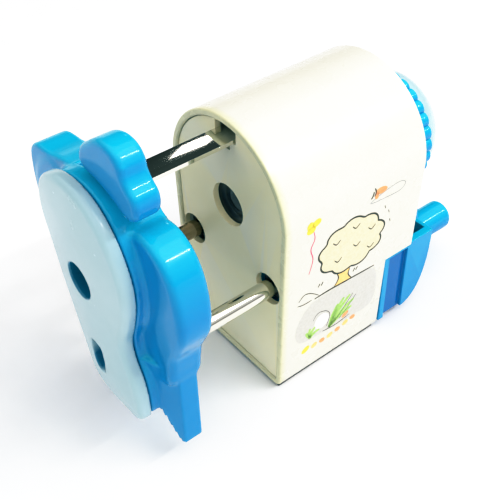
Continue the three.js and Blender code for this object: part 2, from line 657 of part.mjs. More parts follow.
const PARTS = [
  ['housing_shell', cream, housingShell()],
  ['front_panel', cream, frontPanel()],
  ['rear_cover', cream, rearCover()],
  ['base_pad', rubber, basePad()],
  ['pencil_bush', dark, pencilBush()],
  ['ring_gear', grey, ringGear()],
  ['rod_bush_left', dark, rodRing(5.6, -20.9, -10.1, -ROD_X)],
  ['rod_bush_right', dark, rodRing(5.6, -20.9, -10.1, ROD_X)],
  ['rail_guide', grey, railGuide()],
  ['shaft_bush', brass, shaftBush()],
  ['rear_screw_left', steel, rearScrew(REAR_SCREWS[0])],
  ['rear_screw_right', steel, rearScrew(REAR_SCREWS[1])],
  ['cutter_carrier', grey, cutterCarrier()],
  ['cutter_pin', steel, cutterPin()],
  ['helical_cutter', steel, helicalCutter()],
  ['cutter_pinion', brass, cutterPinion()],
  ['crank_shaft', steel, crankShaft()],
  ['crank_hub', blue, atCrankAngle(crankHub())],
  ['arm_spacer', steel, atCrankAngle(armSpacer())],
  ['crank_arm', blue, atCrankAngle(crankArm())],
  ['dome_cap', ice, atCrankAngle(domeCap())],
  ['hub_screw', steel, atCrankAngle(hubScrew())],
  ['knob_axle', steel, atCrankAngle(knobAxle())],
  ['crank_knob', blue, atCrankAngle(crankKnob())],
  ['shavings_drawer', blue, shavingsDrawer()],
  ['carriage_plate', blue, carriagePlate()],
  ['face_cover', ice, faceCover()],
  ['chuck_cover', dark, chuckCover()],
  ['chuck_screw_left', steel, chuckScrew(CHUCK_SCREWS[0])],
  ['chuck_screw_bottom', steel, chuckScrew(CHUCK_SCREWS[1])],
  ['chuck_screw_right', steel, chuckScrew(CHUCK_SCREWS[2])],
  ['jaw_lever', blue, jawLever()],
  ['jaw_left', dark, jaw(-1)],
  ['jaw_right', dark, jaw(1)],
  ['jaw_spring', steel, jawSpring()],
  ['top_rail', chrome, topRail()],
  ['feed_spring', steel, feedSpring()],
  ['guide_rod_left', chrome, guideRod(-1)],
  ['guide_rod_right', chrome, guideRod(1)],
  ['rod_stop_left', steel, rodRing(5.2, -9.6, -6.6, -ROD_X)],
  ['rod_stop_right', steel, rodRing(5.2, -9.6, -6.6, ROD_X)],
];

const sharpener = new THREE.Group();
for (const [name, material, manifold] of PARTS) {
  const mesh = new THREE.Mesh(geometryOf(manifold), material);
  mesh.name = name;
  sharpener.add(mesh);
}

export default sharpener;
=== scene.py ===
"""The looks of a crank pencil sharpener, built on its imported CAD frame. Lengths are in metres."""

import itertools
import json
import math

import bmesh
import bpy
import numpy as np
from mathutils import Matrix, Vector


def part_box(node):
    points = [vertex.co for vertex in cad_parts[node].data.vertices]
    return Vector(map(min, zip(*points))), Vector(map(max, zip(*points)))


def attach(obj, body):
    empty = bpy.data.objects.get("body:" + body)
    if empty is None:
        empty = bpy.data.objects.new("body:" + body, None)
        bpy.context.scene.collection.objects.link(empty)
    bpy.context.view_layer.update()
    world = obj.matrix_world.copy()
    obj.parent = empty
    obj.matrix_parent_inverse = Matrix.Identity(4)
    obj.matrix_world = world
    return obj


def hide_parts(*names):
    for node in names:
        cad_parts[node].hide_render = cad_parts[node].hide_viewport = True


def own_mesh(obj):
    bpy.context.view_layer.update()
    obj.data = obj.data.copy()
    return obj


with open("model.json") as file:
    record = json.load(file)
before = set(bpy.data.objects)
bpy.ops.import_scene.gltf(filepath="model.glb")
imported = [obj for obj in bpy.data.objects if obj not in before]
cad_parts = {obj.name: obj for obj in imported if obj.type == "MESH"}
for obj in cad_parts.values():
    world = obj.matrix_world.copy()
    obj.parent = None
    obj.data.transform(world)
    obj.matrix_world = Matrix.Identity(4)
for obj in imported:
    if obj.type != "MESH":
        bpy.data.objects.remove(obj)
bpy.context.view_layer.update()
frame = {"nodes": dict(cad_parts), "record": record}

MM = 0.001

# ---- Places taken from the frame ----
SHELL_LOW, SHELL_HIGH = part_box("housing_shell")
PANEL_LOW, PANEL_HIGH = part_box("front_panel")
PLATE_LOW, PLATE_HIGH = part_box("carriage_plate")
COVER_LOW, COVER_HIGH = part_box("face_cover")
LEVER_LOW, LEVER_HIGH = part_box("jaw_lever")
HUB_LOW, HUB_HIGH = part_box("crank_hub")
DOME_LOW, DOME_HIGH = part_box("dome_cap")
KNOB_LOW, KNOB_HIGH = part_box("crank_knob")
DRAWER_LOW, DRAWER_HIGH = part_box("shavings_drawer")
RAIL_LOW, RAIL_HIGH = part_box("top_rail")
JOINTS = {joint["name"]: joint for joint in frame["record"]["behaviour"]["joints"]}
AXIS_Z = JOINTS["crank_spin"]["pos_m"][2]
KNOB_X = (KNOB_LOW.x + KNOB_HIGH.x) / 2
KNOB_Z = (KNOB_LOW.z + KNOB_HIGH.z) / 2
CRANK_RADIUS = math.hypot(KNOB_X, KNOB_Z - AXIS_Z)
CRANK_ANGLE = math.atan2(KNOB_Z - AXIS_Z, KNOB_X)

# ---- The housing's section ----
BASE_HALF = 28 * MM
ARCH_RADIUS = SHELL_HIGH.x
SPRING_Z = SHELL_HIGH.z - ARCH_RADIUS
CORNER = 3.5 * MM
WALL = 2.4 * MM
STEP_Y = 24.5 * MM
STEP_Z = 35.4 * MM
ROD_X = 20.4 * MM
ROD_Z = 45.2 * MM
RAIL_BOTTOM = RAIL_HIGH.z - 1.5 * MM
PENCIL_HOLE = 7.9 * MM
ROD_HOLE = 6 * MM

# ---- The crank arm ----
ARM_FRONT = 57.4 * MM
ARM_BACK = 60.8 * MM
ARM_HALF_WIDTH = 5.2 * MM
SCREW_BORE = 1.7 * MM
SCREW_SEAT = 3.8 * MM
AXLE_BORE = 2.2 * MM

# ---- The drawer, in millimetres along Y ----
HEAD_FRONT = 24.8
HEAD_TOP_FRONT = 38.3
POCKET_FRONT = 28.0
BAND_FRONT = 27.4
BAND_BACK = 36.8
BAND_DEPTH = 1.4 * MM
HEAD_SHELF_Z = 35 * MM
DRAWER_FLOOR_Z = 5.8 * MM
DRAWER_WALL = 3 * MM
RIM_WALL = 1.7 * MM

# ---- The face plate ----
LOBE_FRONT = -71.5 * MM
FOOT_FRONT = -75 * MM
FOOT_BACK = -61.6 * MM
FOOT_SPLAY = 0.467
LEVER_SLOT_FRONT = -69.9 * MM
LEVER_SLOT_MIDDLE = 84.5
LEVER_SLOT_HALF = 22.5
ROD_SOCKET = 3.4 * MM
COVER_BORE = 6.0 * MM
LEVER_LEAN = 74


# ---- Materials ----
def shader(name, **values):
    """A new material: its node tree, its Principled shader and itself, with plain values on the sockets."""
    material = bpy.data.materials.new(name)
    material.use_nodes = True
    principled = material.node_tree.nodes["Principled BSDF"]
    for socket, value in values.items():
        principled.inputs[socket.replace("_", " ")].default_value = value
    return material, material.node_tree, principled


def noise(tree, scale, detail=3.0, stretch=(1, 1, 1), roughness=0.5):
    coordinates = tree.nodes.new("ShaderNodeTexCoord")
    mapping = tree.nodes.new("ShaderNodeMapping")
    mapping.inputs["Scale"].default_value = stretch
    texture = tree.nodes.new("ShaderNodeTexNoise")
    texture.inputs["Scale"].default_value = scale
    texture.inputs["Detail"].default_value = detail
    texture.inputs["Roughness"].default_value = roughness
    tree.links.new(coordinates.outputs["Object"], mapping.inputs["Vector"])
    tree.links.new(mapping.outputs["Vector"], texture.inputs["Vector"])
    return texture.outputs["Fac"]


def ramp(tree, source, stops):
    """Colours or grey levels spread over a 0 to 1 source."""
    node = tree.nodes.new("ShaderNodeValToRGB")
    while len(node.color_ramp.elements) < len(stops):
        node.color_ramp.elements.new(0.5)
    for element, (place, colour) in zip(node.color_ramp.elements, stops):
        element.position = place
        element.color = (*colour, 1) if isinstance(colour, tuple) else (colour, colour, colour, 1)
    tree.links.new(source, node.inputs["Fac"])
    return node.outputs["Color"]


def bump(tree, principled, layers):
    """Stacks bumps: each layer is a height source, a strength and a height in metres."""
    normal = None
    for source, strength, distance in layers:
        node = tree.nodes.new("ShaderNodeBump")
        node.inputs["Strength"].default_value = strength
        node.inputs["Distance"].default_value = distance
        tree.links.new(source, node.inputs["Height"])
        if normal:
            tree.links.new(normal, node.inputs["Normal"])
        normal = node.outputs["Normal"]
    tree.links.new(normal, principled.inputs["Normal"])


def worn(tree, colour, edge, share):
    """Mixes an edge colour in along convex edges, as handling rubs them."""
    geometry = tree.nodes.new("ShaderNodeNewGeometry")
    mask = ramp(tree, geometry.outputs["Pointiness"], [(0.52, 0.0), (0.62, share)])
    return blend(tree, mask, colour, edge)


def moulded(name, low, high, gloss=(0.16, 0.26), edge=None, coat=0.0, subsurface=0.0, shine=0.5, tints=()):
    """Injection-moulded plastic: cloudy pigment, faint sink waves, fine orange peel and rubbed edges.

    Each tint is a colour and a function that makes the mask for where it goes.
    """
    material, tree, principled = shader(name, Coat_Weight=coat, Coat_Roughness=0.05, Specular_IOR_Level=shine)
    principled.inputs["Subsurface Weight"].default_value = subsurface
    principled.inputs["Subsurface Radius"].default_value = (0.6, 0.8, 1.0)
    principled.inputs["Subsurface Scale"].default_value = 2 * MM
    cloud = noise(tree, 45, 4)
    colour = ramp(tree, cloud, [(0.3, low), (0.7, high)])
    if edge:
        colour = worn(tree, colour, edge, 0.5)
    for tint, mask in tints:
        colour = blend(tree, mask(tree), colour, tint)
    tree.links.new(colour, principled.inputs["Base Color"])
    sheen = ramp(tree, noise(tree, 130, 5), [(0.3, gloss[0]), (0.7, gloss[1])])
    tree.links.new(sheen, principled.inputs["Roughness"])
    bump(tree, principled, [(noise(tree, 24, 2), 0.05, 1 * MM), (noise(tree, 1600, 2), 0.05, 0.05 * MM)])
    return material


def blend(tree, mask, colour, tint):
    """Mixes a plain tint over a colour where the mask is 1."""
    mix = tree.nodes.new("ShaderNodeMix")
    mix.data_type = "RGBA"
    mix.inputs["B"].default_value = (*tint, 1)
    tree.links.new(mask, mix.inputs["Factor"])
    tree.links.new(colour, mix.inputs["A"])
    return mix.outputs["Result"]


def fade(tree, value, start, end):
    """0 at start and 1 at end, clamped, for a value on a socket."""
    node = tree.nodes.new("ShaderNodeMapRange")
    node.inputs["From Min"].default_value = start
    node.inputs["From Max"].default_value = end
    tree.links.new(value, node.inputs["Value"])
    return node.outputs["Result"]


def times(tree, first, *others):
    """The product of several masks."""
    for other in others:
        node = tree.nodes.new("ShaderNodeMath")
        node.operation = "MULTIPLY"
        tree.links.new(first, node.inputs[0])
        tree.links.new(other, node.inputs[1])
        first = node.outputs["Value"]
    return first


def place_of_point(tree, centre=(0, 0, 0), scale=(1, 1, 1)):
    """The object's own coordinates about a centre, each times its scale: the axes and the length."""
    coordinates = tree.nodes.new("ShaderNodeTexCoord")
    mapping = tree.nodes.new("ShaderNodeMapping")
    mapping.inputs["Location"].default_value = [-c * k for c, k in zip(centre, scale)]
    mapping.inputs["Scale"].default_value = scale
    split = tree.nodes.new("ShaderNodeSeparateXYZ")
    length = tree.nodes.new("ShaderNodeVectorMath")
    length.operation = "LENGTH"
    tree.links.new(coordinates.outputs["Object"], mapping.inputs["Vector"])
    tree.links.new(mapping.outputs["Vector"], split.inputs["Vector"])
    tree.links.new(mapping.outputs["Vector"], length.inputs[0])
    return *split.outputs, length.outputs["Value"]


def painted_rim_shade(tree):
    """Painted shade: the housing's front rim, tinted darker and yellower as the shaded rim looks."""
    return fade(tree, place_of_point(tree)[1], SHELL_LOW.y + 3 * MM, SHELL_LOW.y)


def painted_top_light(tree):
    """Painted light: surfaces that face up, tinted a lighter cyan as light from above makes them look."""
    geometry = tree.nodes.new("ShaderNodeNewGeometry")
    split = tree.nodes.new("ShaderNodeSeparateXYZ")
    tree.links.new(geometry.outputs["Normal"], split.inputs["Vector"])
    return fade(tree, split.outputs["Z"], 0.0, 0.85)


def drawer_depth(tree, y, ranges, depth):
    """Points deeper than depth under the drawer's sides, with y inside a range in millimetres."""
    x = place_of_point(tree)[0]
    size = tree.nodes.new("ShaderNodeMath")
    size.operation = "ABSOLUTE"
    tree.links.new(x, size.inputs[0])
    inner = fade(tree, size.outputs["Value"], DRAWER_HIGH.x - depth + 0.3 * MM, DRAWER_HIGH.x - depth)
    start, end = ranges
    low = fade(tree, y, start * MM, (start + 0.3) * MM)
    return times(tree, inner, low, fade(tree, y, end * MM, (end - 0.3) * MM))


def painted_pocket_shade(tree):
    """Painted shade: the inside of the drawer's finger pocket, tinted a dark blue."""
    _, y, z, _ = place_of_point(tree)
    below = fade(tree, z, DRAWER_HIGH.z - 0.2 * MM, DRAWER_HIGH.z - 2 * MM)
    rear = (DRAWER_HIGH.y - RIM_WALL) / MM
    return times(tree, drawer_depth(tree, y, (POCKET_FRONT, rear), DRAWER_WALL - 0.2 * MM), below)


def painted_band_shade(tree):
    """Painted shade: the sunk bands on the drawer's sides and the bottom between them, tinted a darker blue.
    """
    _, y, z, _ = place_of_point(tree)
    sunk = drawer_depth(tree, y, (BAND_FRONT - 0.1, BAND_BACK + 0.2), BAND_DEPTH - 0.2 * MM)
    return times(tree, sunk, fade(tree, z, 34.2 * MM, 33.6 * MM))


def painted_hole_shade(tree):
    """Painted shade: the cover's pencil hole, tinted a dark blue."""
    reach = place_of_point(tree, (0, 0, AXIS_Z), (1, 0, 1))[3]
    return fade(tree, reach, COVER_BORE + 0.7 * MM, COVER_BORE + 0.2 * MM)


def painted_slot_shade(tree):
    """Painted shade: the cover's lower slot, tinted a dark blue."""
    reach = place_of_point(tree, (3.1 * MM, 0, 37.4 * MM), (1.75, 0, 1))[3]
    return fade(tree, reach, 6.9 * MM, 6.3 * MM)


def metal(name, low, high, gloss, stretch=(1, 1, 1), grain=0.08, scale=500):
    """Metal with grain drawn out along its working direction."""
    material, tree, principled = shader(name, Metallic=1.0)
    colour = ramp(tree, noise(tree, scale, 6, stretch), [(0.3, low), (0.7, high)])
    tree.links.new(colour, principled.inputs["Base Color"])
    streaks = noise(tree, scale * 1.6, 5, stretch)
    tree.links.new(ramp(tree, streaks, [(0.3, gloss[0]), (0.7, gloss[1])]), principled.inputs["Roughness"])
    bump(tree, principled, [(streaks, grain, 0.04 * MM)])
    return material


def ink(name, low, high):
    """Printed ink: slightly uneven cover with a satin film."""
    material, tree, principled = shader(name, Coat_Weight=0.1, Coat_Roughness=0.12)
    colour = ramp(tree, noise(tree, 900, 3), [(0.35, low), (0.65, high)])
    tree.links.new(colour, principled.inputs["Base Color"])
    tree.links.new(ramp(tree, noise(tree, 400, 3), [(0.3, 0.3), (0.7, 0.42)]), principled.inputs["Roughness"])
    bump(tree, principled, [(noise(tree, 2200, 2), 0.06, 0.02 * MM)])
    return material


# The next three colours are painted shade: darker blues for the cover's pencil hole and slot, for the
# drawer's sunk bands and for the drawer's finger pocket.
HOLE_SHADE_BLUE = (0.003, 0.17, 0.30)
BAND_SHADE_BLUE = (0.002, 0.16, 0.46)
POCKET_SHADE_BLUE = (0.004, 0.04, 0.20)
# The cream's yellow tint at the housing's front rim is painted shade.
CREAM = moulded("cream_abs", (0.77, 0.755, 0.655), (0.79, 0.775, 0.68), (0.22, 0.32), (0.88, 0.88, 0.82), 0.2,
                tints=[((0.74, 0.72, 0.46), painted_rim_shade)])
# The panel's cream is tinted yellow as painted warm shade, the tone that cream takes in shade.
PANEL_SHADE_CREAM = moulded("cream_panel_abs", (0.92, 0.84, 0.52), (0.94, 0.87, 0.57), (0.3, 0.42), (0.86, 0.84, 0.7))
# The blue's tints are painted light: a lighter cyan on faces that point up, painted shade in the drawer's
# sunk bands and finger pocket.
BLUE = moulded("blue_abs", (0.006, 0.27, 0.58), (0.008, 0.30, 0.62), (0.07, 0.14), (0.03, 0.42, 0.72),
               shine=0.36, tints=[((0.008, 0.46, 0.68), painted_top_light), (BAND_SHADE_BLUE, painted_band_shade), (POCKET_SHADE_BLUE, painted_pocket_shade)])
ICE = moulded("ice_abs", (0.41, 0.58, 0.63), (0.45, 0.62, 0.67), (0.18, 0.28), (0.56, 0.72, 0.76), 0.3, 0.1)
# The cover's dark blue tints at its pencil hole and lower slot are painted shade.
COVER = moulded("ice_cover_abs", (0.41, 0.58, 0.63), (0.45, 0.62, 0.67), (0.18, 0.28), (0.56, 0.72, 0.76),
                0.3, 0.0, tints=[(HOLE_SHADE_BLUE, painted_hole_shade), (HOLE_SHADE_BLUE, painted_slot_shade)])
BLACK = moulded("black_acetal", (0.010, 0.011, 0.013), (0.020, 0.021, 0.024), (0.3, 0.42), (0.06, 0.06, 0.07))
GREY = moulded("grey_nylon", (0.24, 0.26, 0.28), (0.30, 0.32, 0.34), (0.4, 0.55), (0.4, 0.42, 0.44))
RUBBER = moulded("pad_rubber", (0.010, 0.010, 0.011), (0.022, 0.022, 0.024), (0.7, 0.85), (0.05, 0.05, 0.05))
CHROME = metal("bright_chrome", (0.74, 0.72, 0.64), (0.82, 0.81, 0.74), (0.03, 0.08), (1, 0.05, 1), 0.04)
# The left rod's brown is partly tarnish and partly a painted warm reflection.
TARNISH_AND_REFLECTION_CHROME = metal("tarnished_chrome_painted_reflection", (0.30, 0.21, 0.14), (0.48, 0.36, 0.24), (0.08, 0.2), (1, 0.05, 1), 0.06)
STEEL = metal("ground_steel", (0.42, 0.43, 0.45), (0.56, 0.57, 0.59), (0.22, 0.36), (1, 0.08, 1), 0.15)
SPRING = metal("spring_wire", (0.34, 0.35, 0.37), (0.5, 0.51, 0.53), (0.2, 0.32), (1, 1, 1), 0.1, 900)
BRASS = metal("turned_brass", (0.55, 0.38, 0.14), (0.68, 0.49, 0.21), (0.2, 0.34), (0.1, 1, 1), 0.12)
OLIVE_INK = ink("olive_ink", (0.016, 0.014, 0.006), (0.034, 0.029, 0.013))
BUTTER_INK = ink("butter_ink", (0.77, 0.71, 0.47), (0.81, 0.76, 0.54))
ORANGE_INK = ink("orange_ink", (0.84, 0.34, 0.12), (0.90, 0.43, 0.18))
YOLK_INK = ink("yolk_ink", (0.88, 0.62, 0.20), (0.92, 0.69, 0.27))
LEMON_INK = ink("lemon_ink", (0.90, 0.74, 0.04), (0.93, 0.80, 0.08))
ROSE_INK = ink("rose_ink", (0.74, 0.10, 0.20), (0.80, 0.15, 0.26))
LEAF_INK = ink("leaf_ink", (0.34, 0.62, 0.12), (0.45, 0.72, 0.18))
MIST_INK = ink("mist_ink", (0.62, 0.61, 0.56), (0.68, 0.67, 0.62))
WHITE_INK = ink("white_ink", (0.90, 0.90, 0.88), (0.93, 0.93, 0.91))


# ---- Mesh making ----
def piece(name, vertices, faces, smooth_angle=None):
    mesh = bpy.data.meshes.new(name)
    mesh.from_pydata([tuple(v) for v in vertices], [], [tuple(int(i) for i in f) for f in faces])
    mesh.validate()
    made = bpy.data.objects.new(name, mesh)
    bpy.context.scene.collection.objects.link(made)
    shade(made, smooth_angle)
    return made


def shade(made, angle=None):
    made.data.polygons.foreach_set("use_smooth", [True] * len(made.data.polygons))
    if angle:
        made.data.set_sharp_from_angle(angle=math.radians(angle))


def bake(made):
    """Makes a piece's modifiers part of its mesh."""
    bpy.context.view_layer.update()
    shaped = made.evaluated_get(bpy.context.evaluated_depsgraph_get())
    mesh = bpy.data.meshes.new_from_object(shaped)
    made.modifiers.clear()
    made.data = mesh
    return made


def combine(made, others, operation):
    """Boolean work on a piece with several tools, which are then removed."""
    for other in others:
        modifier = made.modifiers.new("combine", "BOOLEAN")
        modifier.object = other
        modifier.operation = operation
        modifier.solver = "EXACT"
    bake(made)
    for other in others:
        bpy.data.objects.remove(other)
    return made


def soften(made, width, segments=3, angle=35):
    """Rounds the sharp edges by width."""
    modifier = made.modifiers.new("soften", "BEVEL")
    modifier.width = width
    modifier.segments = segments
    modifier.limit_method = "ANGLE"
    modifier.angle_limit = math.radians(angle)
    modifier.harden_normals = True
    modifier.use_clamp_overlap = True
    shade(made, 60)
    return bake(made)


def place(made, material, body, nodes=(), slot=None):
    """Gives a finished piece its material and its body, and hides the CAD nodes that it stands for."""
    made.data.materials.clear()
    made.data.materials.append(material)
    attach(made, body)
    if nodes:
        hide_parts(*nodes)
    return made


def block(low, high):
    corners = [(x, y, z) for x in (low[0], high[0]) for y in (low[1], high[1]) for z in (low[2], high[2])]
    faces = [(0, 1, 3, 2), (4, 6, 7, 5), (0, 4, 5, 1), (2, 3, 7, 6), (0, 2, 6, 4), (1, 5, 7, 3)]
    return piece("block", corners, faces)


def tidy_normals(made, weld=False):
    """Points a closed piece's faces outwards, after welding doubled points if asked."""
    edit = bmesh.new()
    edit.from_mesh(made.data)
    if weld:
        bmesh.ops.remove_doubles(edit, verts=edit.verts, dist=1e-7)
        bmesh.ops.dissolve_degenerate(edit, edges=edit.edges, dist=1e-7)
    bmesh.ops.recalc_face_normals(edit, faces=edit.faces)
    edit.to_mesh(made.data)
    edit.free()
    return made


def prism(points, low, high, along=1, name="prism"):
    """A flat outline run along one axis. The outline's pairs are the other two coordinates, in order."""
    count = len(points)
    vertices = []
    for level in (low, high):
        for a, b in points:
            vertex = [a, b]
            vertex.insert(along, level)
            vertices.append(vertex)
    sides = [(i, (i + 1) % count, (i + 1) % count + count, i + count) for i in range(count)]
    made = piece(name, vertices, [tuple(reversed(range(count))), tuple(range(count, 2 * count))] + sides)
    return tidy_normals(made)


def turned(name, profile, x=0.0, z=0.0, sides=96, ribs=0, rib_depth=0.0):
    """A closed (radius, y) profile turned about an axis along Y. Points flagged True get the ribs' dips."""
    angles = [2 * math.pi * i / sides for i in range(sides)]
    vertices = []
    for angle in angles:
        dip = rib_depth * (1 - abs(math.sin(angle * ribs / 2)) ** 0.6) if ribs else 0.0
        for point in profile:
            radius = point[0] - (dip if len(point) > 2 and point[2] else 0.0)
            vertices.append((x + radius * math.cos(angle), point[1], z + radius * math.sin(angle)))
    count = len(profile)
    faces = []
    for i, k in itertools.product(range(sides), range(count)):
        j, m = (i + 1) % sides, (k + 1) % count
        faces.append((i * count + k, i * count + m, j * count + m, j * count + k))
    made = tidy_normals(piece(name, vertices, faces), weld=True)
    shade(made, 40)
    return made


def quarter(radius, y, size, start, steps=6, ribbed=False):
    """A quarter round in (radius, y) about a centre, from an angle in degrees."""
    angles = [math.radians(start + 90 * i / steps) for i in range(steps + 1)]
    return [(radius + size * math.cos(a), y + size * math.sin(a), ribbed) for a in angles]


def drum(radius, low, high, x, z, sides=64):
    return turned("drum", [(0, low), (radius, low), (radius, high), (0, high)], x, z, sides)


def flow(points, spans=6, closed=False):
    """A smooth line through a few points in millimetres: a centripetal Catmull-Rom curve."""
    knots = [np.array(p, float) * MM for p in points]
    count = len(knots)
    smooth = []
    for i in range(count if closed else count - 1):
        near = [i + k if closed else min(max(i + k, 0), count - 1) for k in (-1, 0, 1, 2)]
        a, b, c, d = (knots[k % count] for k in near)
        t0, t1, t2 = (max(np.linalg.norm(q - p) ** 0.5, 1e-9) for p, q in ((a, b), (b, c), (c, d)))
        m1 = (b - a) / t0 - (c - a) / (t0 + t1) + (c - b) / t1
        m2 = (c - b) / t1 - (d - b) / (t1 + t2) + (d - c) / t2
        for step in range(spans):
            t = step / spans
            smooth.append(
                (2 * t**3 - 3 * t**2 + 1) * b + (t**3 - 2 * t**2 + t) * m1 * t1
                + (3 * t**2 - 2 * t**3) * c + (t**3 - t**2) * m2 * t1
            )
    return smooth if closed else smooth + [knots[-1]]


def loop(points, spans=6):
    """A smooth closed outline through a few points in millimetres."""
    return flow(points, spans, closed=True)


def mirrored(points):
    return [(-x, z) for x, z in reversed(points)]


# ---- Distance fields: soft joints and edges for the moulded organic pieces ----
def outline_field(points):
    """Signed distance in x and z to a closed outline, negative inside."""
    starts = [tuple(p) for p in points]
    ends = starts[1:] + starts[:1]

    def distance(x, z):
        x, z = np.broadcast_arrays(x, z)
        nearest = np.full(x.shape, 1e9)
        inside = np.zeros(x.shape, bool)
        for (ax, az), (bx, bz) in zip(starts, ends):
            ex, ez = bx - ax, bz - az
            t = np.clip(((x - ax) * ex + (z - az) * ez) / (ex * ex + ez * ez), 0, 1)
            nearest = np.minimum(nearest, (x - ax - t * ex) ** 2 + (z - az - t * ez) ** 2)
            if ez:
                crossing = (az > z) != (bz > z)
                inside ^= crossing & (x < ax + (z - az) * ex / ez)
        return np.where(inside, -1, 1) * np.sqrt(nearest)

    return distance


def slab_field(flat, y, front, back, edge):
    """An outline's distance made solid between two depths, with its edges rounded."""
    across = np.abs(y - (front + back) / 2) - (back - front) / 2 + edge
    inward = flat + edge
    outside = np.hypot(np.maximum(inward, 0), np.maximum(across, 0))
    return np.minimum(np.maximum(inward, across), 0) + outside - edge


def melt(a, b, width):
    """A union with a fillet of about width."""
    share = np.clip(0.5 + 0.5 * (b - a) / width, 0, 1)
    return b + (a - b) * share - width * share * (1 - share)


def carve(a, b, width):
    """A cut of b from a with its edge rounded by about width."""
    return -melt(-a, b, width)


def skin(name, field, low, high, step):
    """The closed surface where a field is zero: grid cells that it crosses, slid onto it."""
    grids = [np.arange(a - 2 * step, b + 2.5 * step, step) for a, b in zip(low, high)]
    x, y, z = (g.reshape([-1 if i == k else 1 for i in range(3)]) for k, g in enumerate(grids))
    inside = np.broadcast_to(field(x, y, z), [len(g) for g in grids]) < 0
    cells = np.zeros([n - 1 for n in inside.shape], int)
    for i, j, k in itertools.product((0, 1), repeat=3):
        cells += inside[i:i + cells.shape[0], j:j + cells.shape[1], k:k + cells.shape[2]]
    mixed = (cells > 0) & (cells < 8)
    index = np.full(mixed.shape, -1)
    index[mixed] = np.arange(mixed.sum())
    points = np.stack([g[c] + step / 2 for g, c in zip(grids, np.nonzero(mixed))], 1)
    tiny = step / 50
    for _ in range(6):
        value = field(*points.T)
        slope = np.stack([
            (field(*(points + tiny * axis).T) - field(*(points - tiny * axis).T)) / (2 * tiny)
            for axis in np.eye(3)
        ], 1)
        move = (value / np.maximum((slope**2).sum(1), 0.05))[:, None] * slope
        length = np.linalg.norm(move, axis=1, keepdims=True)
        points -= move * np.minimum(1, 0.6 * step / np.maximum(length, 1e-12))
    faces = []
    for axis in range(3):
        side, up = np.eye(3, dtype=int)[(axis + 1) % 3], np.eye(3, dtype=int)[(axis + 2) % 3]
        first = np.take(inside, range(inside.shape[axis] - 1), axis)
        second = np.take(inside, range(1, inside.shape[axis]), axis)
        edges = np.argwhere(first != second)
        quads = np.stack([index[tuple((edges + o).T)] for o in (-side - up, -up, 0 * up, -side)], 1)
        leaving = first[tuple(edges.T)]
        faces.append(np.where(leaving[:, None], quads, quads[:, ::-1]))
    return piece(name, points, np.concatenate(faces))


def relax(made, rounds=2):
    """Evens out a skin's mesh without changing its shape much."""
    modifier = made.modifiers.new("relax", "SMOOTH")
    modifier.factor = 0.5
    modifier.iterations = rounds
    bake(made)
    shade(made)
    return made


# ---- Housing ----
def housing_outline(inset, arc_steps=48, corner_steps=8):
    foot = SHELL_LOW.z + inset
    half = BASE_HALF - inset
    arch = ARCH_RADIUS - inset
    corner = max(CORNER - inset, 0.8 * MM)
    lean = (arch - half) / (SPRING_Z - foot) * corner
    right = []
    for i in range(corner_steps + 1):
        t = i / corner_steps
        x = (1 - t) ** 2 * (half - corner) + 2 * t * (1 - t) * half + t**2 * (half + lean)
        right.append((x, foot + t**2 * corner))
    arc = []
    for i in range(arc_steps + 1):
        angle = math.pi * i / arc_steps
        arc.append((arch * math.cos(angle), SPRING_Z + arch * math.sin(angle)))
    return right + arc + [(-x, z) for x, z in reversed(right)]


def housing_shell():
    shell = prism(housing_outline(0), SHELL_LOW.y, SHELL_HIGH.y, name="shell")
    hollow = prism(housing_outline(WALL), SHELL_LOW.y - MM, SHELL_HIGH.y + MM)
    step = block((-0.04, STEP_Y, -0.01), (0.04, 0.05, STEP_Z))
    combine(shell, [hollow, step], "DIFFERENCE")
    soften(shell, 0.7 * MM, 4)
    return place(shell, CREAM, "housing", ["housing_shell"], "cream_shell")


def front_panel():
    panel = prism(housing_outline(WALL + 0.3 * MM), PANEL_LOW.y, PANEL_HIGH.y, name="panel")
    low, high = PANEL_LOW.y - MM, PANEL_HIGH.y + MM
    holes = [drum(PENCIL_HOLE, low, high, 0, AXIS_Z)]
    holes += [drum(ROD_HOLE, low, high, side * ROD_X, ROD_Z) for side in (-1, 1)]
    notch = RAIL_HIGH.x + 0.7 * MM
    holes.append(block((-notch, low, RAIL_BOTTOM - 0.4 * MM), (notch, high, 0.12)))
    holes.append(block((-2.1 * MM, low, RAIL_BOTTOM - 3.8 * MM), (2.1 * MM, high, RAIL_BOTTOM)))
    combine(panel, holes, "DIFFERENCE")
    soften(panel, 0.35 * MM, 3)
    return place(panel, PANEL_SHADE_CREAM, "housing", ["front_panel"], "cream_panel")


def base_pad():
    low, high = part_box("base_pad")
    pad = soften(block(low, high), 0.3 * MM, 2)
    pad.name = "base_pad_soft"
    return place(pad, RUBBER, "housing", ["base_pad"], "pad_rubber")


def pencil_bush():
    low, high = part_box("pencil_bush")
    radius = high.x
    profile = [(radius, high.y), (4.3 * MM, high.y), (4.3 * MM, low.y + 1.5 * MM)]
    profile += [(4.9 * MM, low.y + 1.2 * MM), (5.5 * MM, low.y + 1.15 * MM), (5.7 * MM, low.y + 0.8 * MM)]
    profile += [(6.6 * MM, low.y + 0.15 * MM), (7.0 * MM, low.y), (radius, low.y)]
    return place(turned("bush_ring", profile, 0, AXIS_Z), BLACK, "housing", ["pencil_bush"], "black_plastic")


def side_x(z):
    """Half the housing's width on its slanted side."""
    foot = SHELL_LOW.z
    return BASE_HALF + (ARCH_RADIUS - BASE_HALF) * (z - foot) / (SPRING_Z - foot)


